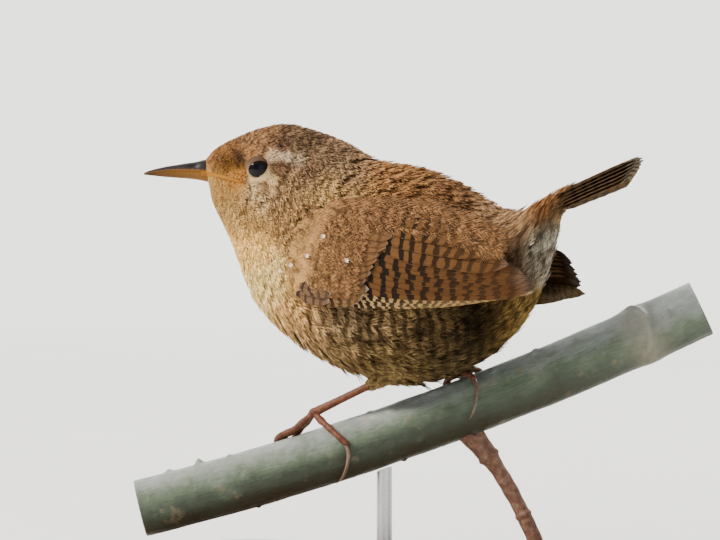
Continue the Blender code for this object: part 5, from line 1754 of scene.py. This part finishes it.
class StageSettings(bpy.types.PropertyGroup):
    """The studio's camera, floor and main light."""

    width: length_setting("Frame width", "Width of the view at the model", FRAME_WIDTH * MM, 0.02, 1)
    lens: number_setting("Lens", "Focal length in millimetres", CAMERA_LENS, 50, 1000)
    key: number_setting("Key light", "Power of the main light", 17.0, 0, 200, unit="POWER")
    floor: colour_setting("Floor", "Floor and backdrop", (0.9, 0.9, 0.87))


class WREN_OT_stage(bpy.types.Operator):
    """Set up the floor, camera and lights"""

    bl_idname = "wren.stage"
    bl_label = "Studio"

    def execute(self, context):
        make_stage(context.scene.wren_stage)
        return {"FINISHED"}


class WREN_OT_coat(bpy.types.Operator):
    """Grow the skin and the body's feathers"""

    bl_idname = "wren.coat"
    bl_label = "Skin and feathers"

    def execute(self, context):
        coat = shared_coat(context)
        fitted(make_skin(), coat, "back_brown", "head", "neck", "torso", "rump", "thigh_left")
        make_body_coat(coat)
        make_thigh(coat)
        return {"FINISHED"}


class WREN_OT_wings(bpy.types.Operator):
    """Fold both wings over the back"""

    bl_idname = "wren.wings"
    bl_label = "Wings"

    def execute(self, context):
        look = context.scene.wren_wings
        coat = shared_coat(context)
        vanes = shared("wing_and_tail_vanes", vane_finish, look.edging)
        for side, name in ((-1, "left"), (1, "right")):
            sheet = WingSheet(side)
            make_wing(sheet, f"{name}_wing_feathers", vanes, 70 + side, look)
            wing_tufts(sheet, f"{name}_wing_coverts", coat, 80 + side, look.white_tip)
        return {"FINISHED"}


class WREN_OT_tail(bpy.types.Operator):
    """Stack the tail feathers"""

    bl_idname = "wren.tail"
    bl_label = "Tail"

    def execute(self, context):
        look = context.scene.wren_tail
        vanes = shared("wing_and_tail_vanes", vane_finish, context.scene.wren_wings.edging)
        make_tail(vanes, look.ground, look.dark)
        return {"FINISHED"}


class WREN_OT_bill(bpy.types.Operator):
    """Shape both mandibles"""

    bl_idname = "wren.bill"
    bl_label = "Bill"

    def execute(self, context):
        look = context.scene.wren_bill
        for upper in (True, False):
            make_bill(upper, bill_finish(upper, tuple(look.dark), tuple(look.warm)))
        return {"FINISHED"}


class WREN_OT_eyes(bpy.types.Operator):
    """Set the eyes, their lids and the corners of the mouth"""

    bl_idname = "wren.eyes"
    bl_label = "Eyes and gape"

    def execute(self, context):
        look = context.scene.wren_eyes
        dark, lid, gape = eye_finish(), lid_finish(), gape_finish(tuple(look.gape))
        for side, name in ((-1, "left"), (1, "right")):
            make_eye(side, f"{name}_eyeball", dark)
            make_lids(side, f"{name}_lids", lid, look.lid_width / MM)
            make_gape(side, f"{name}_gape", gape)
        return {"FINISHED"}


class WREN_OT_legs(bpy.types.Operator):
    """Grip the stem with both feet"""

    bl_idname = "wren.legs"
    bl_label = "Legs"

    def execute(self, context):
        look = context.scene.wren_legs
        scales, horn = leg_finish(tuple(look.scale)), claw_finish()
        for name in ("left", "right"):
            make_leg(name, scales, horn, look.radius / MM)
        return {"FINISHED"}


class WREN_OT_stem(bpy.types.Operator):
    """Cut the stem and its twig"""

    bl_idname = "wren.stem"
    bl_label = "Stem"

    def execute(self, context):
        look = context.scene.wren_stem
        make_stem(stem_finish(tuple(look.bark), tuple(look.bloom_and_top_light)))
        make_twig(twig_finish())
        return {"FINISHED"}


class WREN_OT_stand(bpy.types.Operator):
    """Turn out the wooden base and finish the rod"""

    bl_idname = "wren.stand"
    bl_label = "Stand"

    def execute(self, context):
        look = context.scene.wren_stand
        make_base(wood_finish(tuple(look.wood)), look.corner / MM)
        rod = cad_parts["stand_rod"].data.materials
        rod.clear()
        rod.append(steel_finish())
        return {"FINISHED"}


PIECES = (
    (WREN_OT_stage, StageSettings, "wren_stage"),
    (WREN_OT_coat, CoatSettings, "wren_coat"),
    (WREN_OT_wings, WingSettings, "wren_wings"),
    (WREN_OT_tail, TailSettings, "wren_tail"),
    (WREN_OT_bill, BillSettings, "wren_bill"),
    (WREN_OT_eyes, EyeSettings, "wren_eyes"),
    (WREN_OT_legs, LegSettings, "wren_legs"),
    (WREN_OT_stem, StemSettings, "wren_stem"),
    (WREN_OT_stand, StandSettings, "wren_stand"),
)


class WREN_PT_panel(bpy.types.Panel):
    """The wren's settings, and the buttons that make its pieces"""

    bl_idname = "WREN_PT_panel"
    bl_label = "Wren"
    bl_space_type = "VIEW_3D"
    bl_region_type = "UI"
    bl_category = "Wren"

    def draw(self, context):
        for operator, settings, name in PIECES:
            box = self.layout.box()
            for key in settings.__annotations__:
                box.prop(getattr(context.scene, name), key)
            box.operator(operator.bl_idname)


def shared_coat(context):
    """The feather barbs' material, one for the body and the wings."""
    look = context.scene.wren_coat
    return shared("plumage_coat", coat_finish, look.bar_period / MM, tuple(look.bar_tint))


def register():
    for operator, settings, name in PIECES:
        bpy.utils.register_class(settings)
        bpy.utils.register_class(operator)
        setattr(bpy.types.Scene, name, bpy.props.PointerProperty(type=settings))
    bpy.utils.register_class(WREN_PT_panel)


def unregister():
    bpy.utils.unregister_class(WREN_PT_panel)
    for operator, settings, name in reversed(PIECES):
        delattr(bpy.types.Scene, name)
        bpy.utils.unregister_class(operator)
        bpy.utils.unregister_class(settings)


def main():
    """Makes every piece in order."""
    register()
    for operator, _, _ in PIECES:
        family, name = operator.bl_idname.split(".")
        getattr(getattr(bpy.ops, family), name)()


if __name__ == "__main__":
    main()
